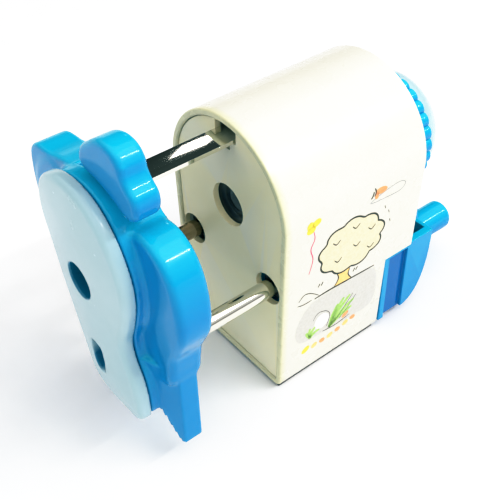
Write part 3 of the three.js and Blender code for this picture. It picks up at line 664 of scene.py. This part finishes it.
def printed(name, outlines, lift, material):
    """Printed shapes, given as outlines in y and z, laid just proud of the housing's right side."""
    vertices, faces = [], []
    for outline in outlines:
        start, count = len(vertices), len(outline)
        for depth in (-0.1 * MM, lift * MM):
            vertices += [(side_x(z) + depth, y, z) for y, z in outline]
        under = [start + i for i in range(count)]
        faces += [tuple(reversed(under)), tuple(i + count for i in under)]
        faces += [(a, b, b + count, a + count) for a, b in zip(under, under[1:] + under[:1])]
    made = piece(name, vertices, faces)
    tidy_normals(made)
    shade(made, 30)
    return place(made, material, "housing")


def stroke(points, width, closed=False):
    """The outline of a drawn line, thinner towards its open ends."""
    line = np.array(flow(points, 8, closed))
    if closed:
        line = np.vstack([line, line[:1]])
    run = np.gradient(line, axis=0)
    across = np.stack([-run[:, 1], run[:, 0]], 1) / np.linalg.norm(run, axis=1, keepdims=True)
    half = np.full((len(line), 1), width / 2 * MM)
    if not closed:
        half[:, 0] *= np.sin(np.linspace(0.3, math.pi - 0.3, len(line))) ** 0.6
    return [tuple(p) for p in (*(line + across * half), *(line - across * half)[::-1])]


def oval(y, z, wide, tall, turn=0.0):
    """An ellipse outline, turned by an angle in degrees."""
    outline = []
    for i in range(24):
        angle = 2 * math.pi * i / 24
        a, b = wide * math.cos(angle), tall * math.sin(angle)
        c, d = math.cos(math.radians(turn)), math.sin(math.radians(turn))
        outline.append(((y + a * c - b * d) * MM, (z + a * d + b * c) * MM))
    return outline


def blade(y, z, tip_y, tip_z, width=1.1):
    """A grass blade from its root to its tip."""
    bend = ((y + tip_y) / 2 - 0.5, (z + tip_z) / 2 + 0.6)
    return stroke([(y, z), bend, (tip_y, tip_z)], width)


def side_print():
    """A meadow scene on the right side: a round tree on a hill, grass, a flower and a butterfly."""
    hill = [(-12, 36.6), (-4, 37.4), (6, 37), (18, 35.6), (20.6, 24), (18.6, 17.2), (8, 16.4), (-6, 17.4),
            (-16.6, 19.6), (-18.6, 26), (-16, 33)]
    crown = []
    for i in range(64):
        angle = 2 * math.pi * i / 64
        puff = 1 + 0.13 * abs(math.sin(angle * 4.5))
        y, z = 14 * puff * math.cos(angle), 10.4 * puff * math.sin(angle)
        crown.append((5.2 + y * 0.97 + z * 0.2, 54.6 + z * 0.97 - y * 0.2))
    trunk = [(-0.6, 44), (0.2, 41.4), (-1.4, 38.6), (6.6, 38), (4.8, 41), (5.4, 43.4)]
    printed("print_hill", [flow(hill, 6, True)], 0.03, MIST_INK)
    printed("print_trunk", [flow(trunk, 6, True)], 0.035, YOLK_INK)
    printed("print_crown", [flow(crown, 2, True)], 0.04, BUTTER_INK)
    lines = [stroke(crown, 0.7, True), stroke(trunk[:3], 0.5), stroke(trunk[3:], 0.5)]
    for y, z in ((-4, 60), (4.6, 62.6), (12.4, 58), (-2.6, 51.4), (5.8, 54), (12.8, 49.4)):
        lines.append(stroke([(y, z), (y + 1.6, z - 1.5), (y + 3.4, z - 0.2)], 0.45))
    lines.append(stroke([(-10.6, 38.2), (-4.4, 38.3), (4.7, 37.8), (18, 37)], 0.7))
    lines.append(stroke([(-18.4, 39.4), (-15.4, 38.6), (-12, 38.6)], 0.35))
    lines.append(stroke([(-18, 41.2), (-15.6, 43.2), (-12.6, 42.2), (-8.8, 39)], 0.3))
    lines += [stroke([(y, 40.4), (y + 0.8, 41.8)], 0.4) for y in (7.2, 8.5)]
    lines += [stroke([(y, 43), (y + 0.8, 44.4)], 0.4) for y in (-9.4, -8)]
    for y, z in ((19.4, 64), (21.6, 61), (22.8, 56.4)):
        lines.append(stroke([(y, z), (y + 0.5, z - 1.5)], 0.25))
    lines.append(stroke([(12, 70.4), (12.8, 71.4), (13, 73)], 0.6))
    lines.append(stroke([(13.6, 70.8), (14, 72.6), (13.4, 74.2)], 0.5))
    lines.append(stroke([(-10.4, 27), (-8.6, 29.4), (-4.6, 28.4), (-2.4, 25.4), (-3.6, 19.6)], 0.25))
    lines.append(stroke([(0.4, 19.6), (4.4, 24), (8.6, 29)], 0.25))
    lines.append(stroke([(2.6, 19.4), (6.8, 23.4), (10.2, 27.4)], 0.25))
    lines.append(stroke([(-5.4, 18.2), (1, 17.4), (8, 18.4)], 0.35))
    printed("print_lines", lines, 0.06, OLIVE_INK)
    tips = ((1.4, 28), (4.2, 29.6), (7.2, 29.2), (9.4, 25.8), (8.6, 22.4))
    blades = [blade(-2.2, 18.2, y, z, 1.7) for y, z in tips]
    tips = ((-13.4, 22.6), (-11.6, 23.8), (-9.2, 23.2), (-7, 20.6))
    blades += [blade(-11.4, 18.6, y, z, 1.3) for y, z in tips]
    printed("print_grass", blades, 0.05, LEAF_INK)
    printed("print_pebble", [oval(-6.2, 24.2, 3.4, 3.6, 10)], 0.045, WHITE_INK)
    petals = [oval(-12.2, 73.4, 1.9, 1.3, 20), oval(-14.8, 73.2, 1.6, 1.3, 60)]
    petals += [oval(-14.4, 71.4, 1.9, 1.4, 10), oval(-13.2, 13.7, 2.0, 1.3, 30)]
    printed("print_petals", petals, 0.05, LEMON_INK)
    beads = [oval(y, z, 1.5, 1.2, 20) for y, z in ((-9, 13.3), (-1.4, 13.4), (6.2, 15))]
    printed("print_beads", beads, 0.05, YOLK_INK)
    wings = [oval(16.6, 72, 2.8, 1.4, -8), oval(14.6, 70.6, 1.5, 0.9, 100), oval(5.6, 19.8, 1.8, 1.1, 30)]
    beads = [oval(y, z, 1.4, 1.1, -15) for y, z in ((-5.2, 13.3), (2.4, 14), (9.8, 15.6))]
    printed("print_wings", wings + beads, 0.05, ORANGE_INK)
    stem = [(-13.4, 70.6), (-12.6, 67), (-14, 63), (-12.8, 58), (-14.2, 52)]
    printed("print_stem", [stroke(stem, 0.45)], 0.05, ROSE_INK)
    trail = [(12, 68.6), (18.3, 70.6), (26, 71.2), (28.4, 69.6), (27, 67.6), (18.8, 67.6)]
    printed("print_trail", [stroke(trail, 0.25, True)], 0.04, GREY)


# ---- Crank ----
def crank_turn():
    """Turns a piece made pointing along +X to the crank's resting angle."""
    centre = Vector((0, 0, AXIS_Z))
    return Matrix.Translation(centre) @ Matrix.Rotation(-CRANK_ANGLE, 4, "Y") @ Matrix.Translation(-centre)


def crank_hub():
    radius, front, back = 22.95 * MM, HUB_LOW.y, HUB_HIGH.y
    edge = 0.9 * MM
    profile = [(8 * MM, front + 4.8 * MM), (19 * MM, front + 4.8 * MM), (19 * MM, front)]
    profile += quarter(radius - edge, front + edge, edge, -90, ribbed=True)
    profile += quarter(radius - edge, back - edge, edge, 0, ribbed=True)
    profile += [(4.25 * MM, back), (4.25 * MM, front), (8 * MM, front)]
    hub = turned("ribbed_hub", profile, 0, AXIS_Z, 28 * 12, 28, 1.15 * MM)
    return place(hub, BLUE, "crank", ["crank_hub"], "blue_plastic")


def dome_cap():
    base, radius = DOME_LOW.y, (DOME_HIGH.z - DOME_LOW.z) / 2
    height = DOME_HIGH.y - base
    steps = 28
    angles = [math.pi / 2 * i / steps for i in range(steps + 1)]
    wall = 1.3 * MM
    inner = [((radius - wall) * math.cos(a), base + (height - wall) * math.sin(a)) for a in reversed(angles)]
    outer = [(radius * math.cos(a), base + height * math.sin(a)) for a in angles]
    dome = turned("dome", inner[:-1] + [(radius - wall, base), (radius, base)] + outer[1:], 0, AXIS_Z, 128)
    notch = block((0, base - MM, AXIS_Z - 5.8 * MM), (0.03, 61.2 * MM, AXIS_Z + 5.8 * MM))
    notch.matrix_world = crank_turn()
    combine(dome, [notch], "DIFFERENCE")
    shade(dome, 40)
    return place(dome, ICE, "crank", ["dome_cap"], "ice_plastic")


def crank_arm():
    steps = 24
    outline = []
    for centre, start in ((CRANK_RADIUS, -90), (0, 90)):
        for i in range(steps + 1):
            angle = math.radians(start + 180 * i / steps)
            x = centre + ARM_HALF_WIDTH * math.cos(angle)
            outline.append((x, AXIS_Z + ARM_HALF_WIDTH * math.sin(angle)))
    arm = prism(outline, ARM_FRONT, ARM_BACK, name="arm")
    low, high = ARM_FRONT - MM, ARM_BACK + MM
    holes = [drum(SCREW_BORE, low, high, 0, AXIS_Z)]
    holes.append(drum(SCREW_SEAT, ARM_BACK - 2 * MM, high, 0, AXIS_Z))
    holes.append(drum(AXLE_BORE, low, high, CRANK_RADIUS, AXIS_Z))
    holes.append(drum(SCREW_SEAT, low, ARM_FRONT + 1.6 * MM, CRANK_RADIUS, AXIS_Z))
    combine(arm, holes, "DIFFERENCE")
    soften(arm, 0.5 * MM, 3)
    arm.data.transform(crank_turn())
    return place(arm, BLUE, "crank", ["crank_arm"], "blue_plastic")


def crank_knob():
    low, high = KNOB_LOW.y, KNOB_HIGH.y
    radius = (KNOB_HIGH.x - KNOB_LOW.x) / 2
    end = 1.9 * MM
    profile = [(2.3 * MM, low), (4.6 * MM, low)]
    profile += [(5.3 * MM, low + 0.25 * MM), (5.7 * MM, low + 0.9 * MM), (5.75 * MM, low + 2 * MM)]
    profile += [(radius - 0.12 * MM, low + 6 * MM), (radius, high - end - 2 * MM)]
    profile += quarter(radius - end, high - end, end, 0, 8)
    profile += [(0, high), (0, high - 3 * MM), (2.3 * MM, high - 3 * MM)]
    knob = turned("knob_grip", profile, KNOB_X, KNOB_Z, 96)
    return place(knob, BLUE, "knob", ["crank_knob"], "blue_plastic")


# ---- Drawer ----
def shavings_drawer():
    half = DRAWER_HIGH.x
    front, back = HEAD_FRONT * MM, DRAWER_HIGH.y
    foot, top = DRAWER_LOW.z, DRAWER_HIGH.z
    rear = [(36, 3.4), (38.8, 4.0), (41.4, 5.2), (43.6, 7.1), (45.4, 9.6), (47.0, 13.0), (48.2, 17),
            (49.1, 21.5), (49.6, 26)]
    side = [(front, foot)] + [(y * MM, z * MM) for y, z in rear]
    side += [(back, top), (HEAD_TOP_FRONT * MM, top)]
    side += [(HEAD_TOP_FRONT * MM, HEAD_SHELF_Z), (front, HEAD_SHELF_Z)]
    head = prism(side, -half, half, 0, "drawer")
    bands = []
    for x in (-half, half):
        low = (x - BAND_DEPTH, BAND_FRONT * MM, -0.01)
        bands.append(block(low, (x + BAND_DEPTH, BAND_BACK * MM, 34 * MM)))
    combine(head, bands, "DIFFERENCE")
    above = 0.06
    inner = [(POCKET_FRONT * MM, DRAWER_FLOOR_Z), (36 * MM, DRAWER_FLOOR_Z)]
    inner += [(y * MM - DRAWER_WALL, z * MM + 1.6 * MM) for y, z in rear[2:-2]]
    inner += [(back - RIM_WALL, 30 * MM), (back - RIM_WALL, above), (POCKET_FRONT * MM, above)]
    combine(head, [prism(inner, DRAWER_WALL - half, half - DRAWER_WALL, 0)], "DIFFERENCE")
    tray = block((-24.2 * MM, DRAWER_LOW.y, 4.2 * MM), (24.2 * MM, front + 3.8 * MM, 33 * MM))
    combine(head, [tray], "UNION")
    low = (-22.6 * MM, DRAWER_LOW.y + 1.6 * MM, DRAWER_FLOOR_Z)
    combine(head, [block(low, (22.6 * MM, 40 * MM, above))], "DIFFERENCE")
    soften(head, 0.55 * MM, 3, 30)
    return place(head, BLUE, "drawer", ["shavings_drawer"], "blue_plastic")


# ---- Face plate ----
CORE_OUTLINE = [(0, 103.2), (10.5, 100.8), (18.6, 92.8), (23.4, 82), (23.6, 71.5), (21.3, 62.5), (18.6, 54),
                (19.2, 47), (22.1, 40.5), (23.7, 32), (22.9, 23.4), (18, 22.2), (-5, 22.2), (-10.6, 24.5),
                (-13, 36), (-16, 46), (-18.6, 54), (-21.3, 62.5), (-23.6, 71.5), (-23.4, 82), (-18.6, 92.8),
                (-10.5, 100.8)]
COVER_OUTLINE = [(2, 103.5), (11, 100.8), (19, 92.8), (23.7, 81.5), (23.8, 71.5), (21.5, 62.5), (18.8, 54),
                 (19.4, 47), (22.3, 40.5), (24, 32), (23.2, 22.8), (17, 21.5), (2, 21.5), (-4, 25.5),
                 (-7.2, 35), (-10.5, 46), (-14.6, 60), (-17.6, 73), (-20.2, 86), (-17.5, 96.5), (-9, 102.2)]
EAR_OUTLINE = [(8, 86), (16, 93.6), (24.5, 95.3), (31, 92.6), (35.5, 87.6), (38.2, 80.6), (39.3, 72),
               (38.6, 65), (36, 59), (33.4, 53.6), (32.3, 47.5), (31.2, 41.3), (28.4, 38.2), (25, 38.4),
               (20, 42), (12, 52)]
LEFT_EAR_TOP = [(-8, 99.5), (-13, 100.2), (-25, 97.2), (-34.5, 95.6), (-38.4, 92.6), (-40.2, 86), (-39.6, 76),
                (-30, 70), (-10, 80)]
FOOT_OUTLINE = [(14, 30), (23.6, 24.5), (30.2, 10.2), (31.6, 10.6), (31.4, 44), (20, 46)]
GRIP_OUTLINE = [(-2.8, 108.3), (-1.9, 112.3), (2.8, 116.6), (8, 119.9), (12.6, 121), (17, 120.1), (19.9, 117),
                (20.7, 113.9), (22.2, 111.7), (24.7, 109.3), (25.5, 106.1), (24.4, 102.4), (21.3, 100.2),
                (17.6, 101.1), (12.5, 103.2), (6, 105), (0, 105.6)]
SLOT_MOUTH = [(-0.6, 36.4), (0.4, 43), (5.6, 43.6), (6.8, 37), (5.6, 31.4), (2.4, 31.2)]


def carriage_plate():
    back = PLATE_HIGH.y
    core = outline_field(loop(CORE_OUTLINE))
    ears = [outline_field(loop(points)) for points in (EAR_OUTLINE, mirrored(EAR_OUTLINE))]
    top = outline_field(loop(LEFT_EAR_TOP))
    feet = [outline_field([(x * s * MM, z * MM) for x, z in FOOT_OUTLINE]) for s in (-1, 1)]
    front = COVER_HIGH.y + 0.3 * MM
    bores = [(6.2 * MM, front - MM, 0.5 * MM)]
    bores += [(19.8 * MM, -73 * MM, 0.4 * MM), (22.9 * MM, -66.2 * MM, 0.4 * MM)]

    def field(x, y, z):
        body = slab_field(core(x, z), y, front, back, 0.5 * MM)
        lobes = [slab_field(ear(x, z), y, LOBE_FRONT, back, 2.4 * MM) for ear in ears]
        lobes.append(slab_field(top(x, z), y, LOBE_FRONT, back, 1.2 * MM))
        for lobe in lobes:
            body = melt(body, lobe, 2.2 * MM)
        for foot in feet:
            slope = (y - FOOT_FRONT) - FOOT_SPLAY * (np.abs(x) - 17.7 * MM)
            wedge = np.maximum(-slope / 1.1, slab_field(foot(x, z), y, FOOT_FRONT, FOOT_BACK, 0.8 * MM))
            body = melt(body, wedge, 0.9 * MM)
        reach = np.hypot(x, z - AXIS_Z)
        for radius, start, edge in bores:
            body = carve(body, np.maximum(reach - radius, start - y), edge)
        angle = np.degrees(np.arctan2(z - AXIS_Z, x))
        aside = np.abs(angle - LEVER_SLOT_MIDDLE) - LEVER_SLOT_HALF
        sector = np.where(aside < 0, -MM, aside * 0.5 * MM)
        slot = np.maximum(np.maximum(sector, 15 * MM - reach), LEVER_SLOT_FRONT - y)
        body = carve(body, slot, 0.3 * MM)
        for side in (-1, 1):
            hole = np.hypot(x - side * ROD_X, z - ROD_Z) - ROD_SOCKET
            body = carve(body, np.maximum(hole, back - 8 * MM - y), 0.4 * MM)
        return body

    plate = relax(skin("plate", field, PLATE_LOW, PLATE_HIGH, 0.62 * MM))
    return place(plate, BLUE, "carriage", ["carriage_plate"], "blue_plastic")


def face_cover():
    outline = outline_field(loop(COVER_OUTLINE))
    mouth = outline_field(loop(SLOT_MOUTH, 4))

    def field(x, y, z):
        flat = outline(x, z)
        crown = 1.1 * MM * np.clip(1 + flat / (17 * MM), 0, 1) ** 2
        body = slab_field(flat, y - crown, COVER_LOW.y, COVER_HIGH.y + 3 * MM, 2.0 * MM)
        body = np.maximum(body, y - COVER_HIGH.y)
        bore = np.hypot(x, z - AXIS_Z) - COVER_BORE
        body = carve(body, bore, 0.7 * MM)
        return carve(body, mouth(x, z), 0.6 * MM)

    cover = relax(skin("cover", field, COVER_LOW, COVER_HIGH, 0.55 * MM))
    return place(cover, COVER, "carriage", ["face_cover"], "ice_plastic")


def jaw_lever():
    grip = outline_field(loop(GRIP_OUTLINE))
    lean = math.radians(LEVER_LEAN)

    def field(x, y, z):
        rise = z - AXIS_Z
        along = x * math.cos(lean) + rise * math.sin(lean)
        across = rise * math.cos(lean) - x * math.sin(lean)
        bore = np.hypot(x, rise)
        thumb = slab_field(grip(x, z), y, LEVER_LOW.y, LEVER_HIGH.y, 1.9 * MM)
        arm = np.maximum(np.abs(across) - 2.5 * MM, np.abs(along - 28 * MM) - 12 * MM)
        ring = np.maximum(bore - 19.3 * MM, 8 * MM - bore)
        web = slab_field(np.minimum(arm, ring), y, -69.4 * MM, -66.4 * MM, 0.4 * MM)
        return melt(thumb, web, 0.8 * MM)

    lever = relax(skin("lever", field, LEVER_LOW, LEVER_HIGH, 0.55 * MM))
    return place(lever, BLUE, "lever", ["jaw_lever"], "blue_plastic")


# ---- Rods, rail and springs ----
def top_rail():
    half, front, back, top = RAIL_HIGH.x, RAIL_LOW.y, RAIL_HIGH.y, RAIL_HIGH.z
    strip = [(-half, RAIL_BOTTOM), (half, RAIL_BOTTOM)]
    strip += [(half * (1 - i / 6), top - 0.12 * MM * (1 - i / 6) ** 2) for i in range(13)]
    rail = prism(strip, front, back, name="rail")
    tab = block((-half, front, RAIL_LOW.z), (half, front + 1.2 * MM, RAIL_BOTTOM + 0.2 * MM))
    combine(rail, [tab], "UNION")
    soften(rail, 0.3 * MM, 3)
    return place(rail, CHROME, "carriage", ["top_rail"], "bright_chrome")


def guide_rods():
    for side in ("left", "right"):
        low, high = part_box("guide_rod_" + side)
        radius = (high.x - low.x) / 2
        chamfer = 0.5 * MM
        profile = [(0, low.y), (radius - chamfer, low.y), (radius, low.y + chamfer)]
        profile += [(radius, high.y - chamfer), (radius - chamfer, high.y), (0, high.y)]
        rod = turned("rod_" + side, profile, (low.x + high.x) / 2, (low.z + high.z) / 2, 64)
        # The left rod's brown finish is partly a painted warm reflection.
        finish = TARNISH_AND_REFLECTION_CHROME if side == "left" else CHROME
        place(rod, finish, "carriage", ["guide_rod_" + side], "bright_chrome")


def coil(name, start, end, radius, wire, turns, sides=10, steps=28):
    """A spring from start to end, with closed end coils."""
    start, end = Vector(start), Vector(end)
    axis = (end - start).normalized()
    across = axis.orthogonal().normalized()
    up = axis.cross(across)
    vertices, faces = [], []
    total = turns * steps
    for i in range(total + 1):
        t = i / total
        angle = 2 * math.pi * turns * t
        outward = across * math.cos(angle) + up * math.sin(angle)
        centre = start.lerp(end, t) + outward * radius
        for k in range(sides):
            around = 2 * math.pi * k / sides
            vertices.append(centre + (outward * math.cos(around) + axis * math.sin(around)) * wire)
    for i, k in itertools.product(range(total), range(sides)):
        j = (k + 1) % sides
        faces.append((i * sides + k, i * sides + j, (i + 1) * sides + j, (i + 1) * sides + k))
    faces += [tuple(reversed(range(sides))), tuple(range(total * sides, (total + 1) * sides))]
    return piece(name, vertices, faces, 50)


def springs():
    low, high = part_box("feed_spring")
    x, z = (low.x + high.x) / 2, (low.z + high.z) / 2
    ends = [(x, low.y + 0.3 * MM, z), (x, high.y - 0.3 * MM, z)]
    feed = coil("feed_coil", *ends, 1.2 * MM, 0.3 * MM, 40)
    place(feed, SPRING, "housing", ["feed_spring"], "spring_steel")
    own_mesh(feed)
    low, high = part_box("jaw_spring")
    y, z = (low.y + high.y) / 2, (low.z + high.z) / 2
    back = coil("jaw_coil", (low.x + 0.3 * MM, y, z), (high.x - 0.3 * MM, y, z), 1 * MM, 0.24 * MM, 8)
    place(back, SPRING, "carriage", ["jaw_spring"], "spring_steel")
    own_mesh(back)


# ---- Carried-over CAD nodes ----
def finish_nodes():
    finishes = {
        PANEL_SHADE_CREAM: ["rear_cover"],
        GREY: ["ring_gear", "rail_guide", "cutter_carrier"],
        BRASS: ["shaft_bush", "cutter_pinion"],
        BLACK: ["chuck_cover", "jaw_left", "jaw_right", "rod_bush_left", "rod_bush_right"],
        STEEL: ["rear_screw_left", "rear_screw_right", "crank_shaft", "cutter_pin", "hub_screw", "knob_axle",
                "arm_spacer", "helical_cutter", "chuck_screw_left", "chuck_screw_bottom", "chuck_screw_right",
                "rod_stop_left", "rod_stop_right"],
    }
    for material, nodes in finishes.items():
        for node in nodes:
            for place_of in frame["nodes"][node].material_slots:
                place_of.material = material


# ---- Stage ----
def camera():
    """A longer lens from the right, in front and above."""
    turn, rise, roll = (math.radians(a) for a in (51.57, 41.69, -1.01))
    back = Vector((math.sin(turn) * math.cos(rise), -math.cos(turn) * math.cos(rise), math.sin(rise)))
    right = Vector((0, 0, 1)).cross(back).normalized()
    up = back.cross(right)
    right, up = (
        right * math.cos(roll) + up * math.sin(roll),
        up * math.cos(roll) - right * math.sin(roll),
    )
    data = bpy.data.cameras.new("camera")
    data.sensor_width = 36
    data.lens = 62.08
    data.clip_start = 0.01
    view = bpy.data.objects.new("camera", data)
    view.matrix_world = Matrix((right, up, back)).transposed().to_4x4()
    view.matrix_world.translation = Vector((178.3, -156.7, 246.1)) * MM
    bpy.context.scene.collection.objects.link(view)
    bpy.context.scene.camera = view


def area_light(name, at, size, power, aim=(0, -0.01, 0.05), long_way=(0, 0, 1)):
    """A rectangular lamp. Its second size runs as nearly as it can along long_way."""
    data = bpy.data.lights.new(name, "AREA")
    data.shape = "RECTANGLE"
    data.size, data.size_y = size
    data.energy = power
    lamp = bpy.data.objects.new(name, data)
    back = (Vector(at) - Vector(aim)).normalized()
    side = Vector(long_way).cross(back).normalized()
    lamp.matrix_world = Matrix((side, back.cross(side), back)).transposed().to_4x4()
    lamp.matrix_world.translation = Vector(at)
    bpy.context.scene.collection.objects.link(lamp)


def studio_sky():
    """A soft sky over a pale, narrow horizon, with a dark card on the far left for the chrome to mirror."""
    world = bpy.data.worlds.new("studio")
    world.use_nodes = True
    tree = world.node_tree
    coordinates = tree.nodes.new("ShaderNodeTexCoord")
    split = tree.nodes.new("ShaderNodeSeparateXYZ")
    tree.links.new(coordinates.outputs["Generated"], split.inputs["Vector"])
    sky = ramp(tree, split.outputs["Z"], [(0.05, 0.9), (0.09, 0.16), (0.14, 0.28), (0.5, 0.75), (0.8, 1.3)])
    towards = tree.nodes.new("ShaderNodeVectorMath")
    towards.operation = "DOT_PRODUCT"
    towards.inputs[1].default_value = (-0.70, 0.42, 0.58)
    tree.links.new(coordinates.outputs["Generated"], towards.inputs[0])
    card = ramp(tree, towards.outputs["Value"], [(0.88, 1.0), (0.93, 0.06)])
    mix = tree.nodes.new("ShaderNodeMix")
    mix.data_type = "RGBA"
    mix.blend_type = "MULTIPLY"
    mix.inputs["Factor"].default_value = 1.0
    tree.links.new(sky, mix.inputs["A"])
    tree.links.new(card, mix.inputs["B"])
    tree.links.new(mix.outputs["Result"], tree.nodes["Background"].inputs["Color"])
    bpy.context.scene.world = world


def stage():
    floor = piece("floor", [(-3, -3, 0), (3, -3, 0), (3, 3, 0), (-3, 3, 0)], [(0, 1, 2, 3)])
    material, tree, principled = shader("paper_floor", Specular_IOR_Level=0.2)
    shade_of_paper = ramp(tree, noise(tree, 60, 3), [(0.3, 0.91), (0.7, 0.94)])
    tree.links.new(shade_of_paper, principled.inputs["Base Color"])
    tree.links.new(ramp(tree, noise(tree, 300, 4), [(0.3, 0.65), (0.7, 0.8)]), principled.inputs["Roughness"])
    floor.data.materials.append(material)
    studio_sky()
    area_light("key", (0.40, 0.20, 0.75), (0.5, 0.5), 0.9)
    area_light("strip", (0.48, 0.42, 0.67), (0.020, 0.64), 2.6, long_way=(0, 1, 0))
    area_light("glint", (-0.55, 0.33, 0.53), (0.05, 0.06), 0.06)
    grade()


def grade():
    """A contrasty photographic print: firm whites and deep, saturated blues."""
    view = bpy.context.scene.view_settings
    view.view_transform = "Standard"
    view.look = "None"
    view.use_curve_mapping = True
    curves = view.curve_mapping.curves
    for place_at, level in ((0.12, 0.09), (0.35, 0.33), (0.62, 0.69), (0.85, 0.94)):
        curves[3].points.new(place_at, level)
    for place_at, level in ((0.05, 0.028), (0.12, 0.09), (0.3, 0.29)):
        curves[0].points.new(place_at, level)
    view.curve_mapping.update()


camera()
stage()
housing_shell()
front_panel()
base_pad()
pencil_bush()
side_print()
crank_hub()
dome_cap()
crank_arm()
crank_knob()
shavings_drawer()
carriage_plate()
face_cover()
jaw_lever()
top_rail()
guide_rods()
springs()
finish_nodes()
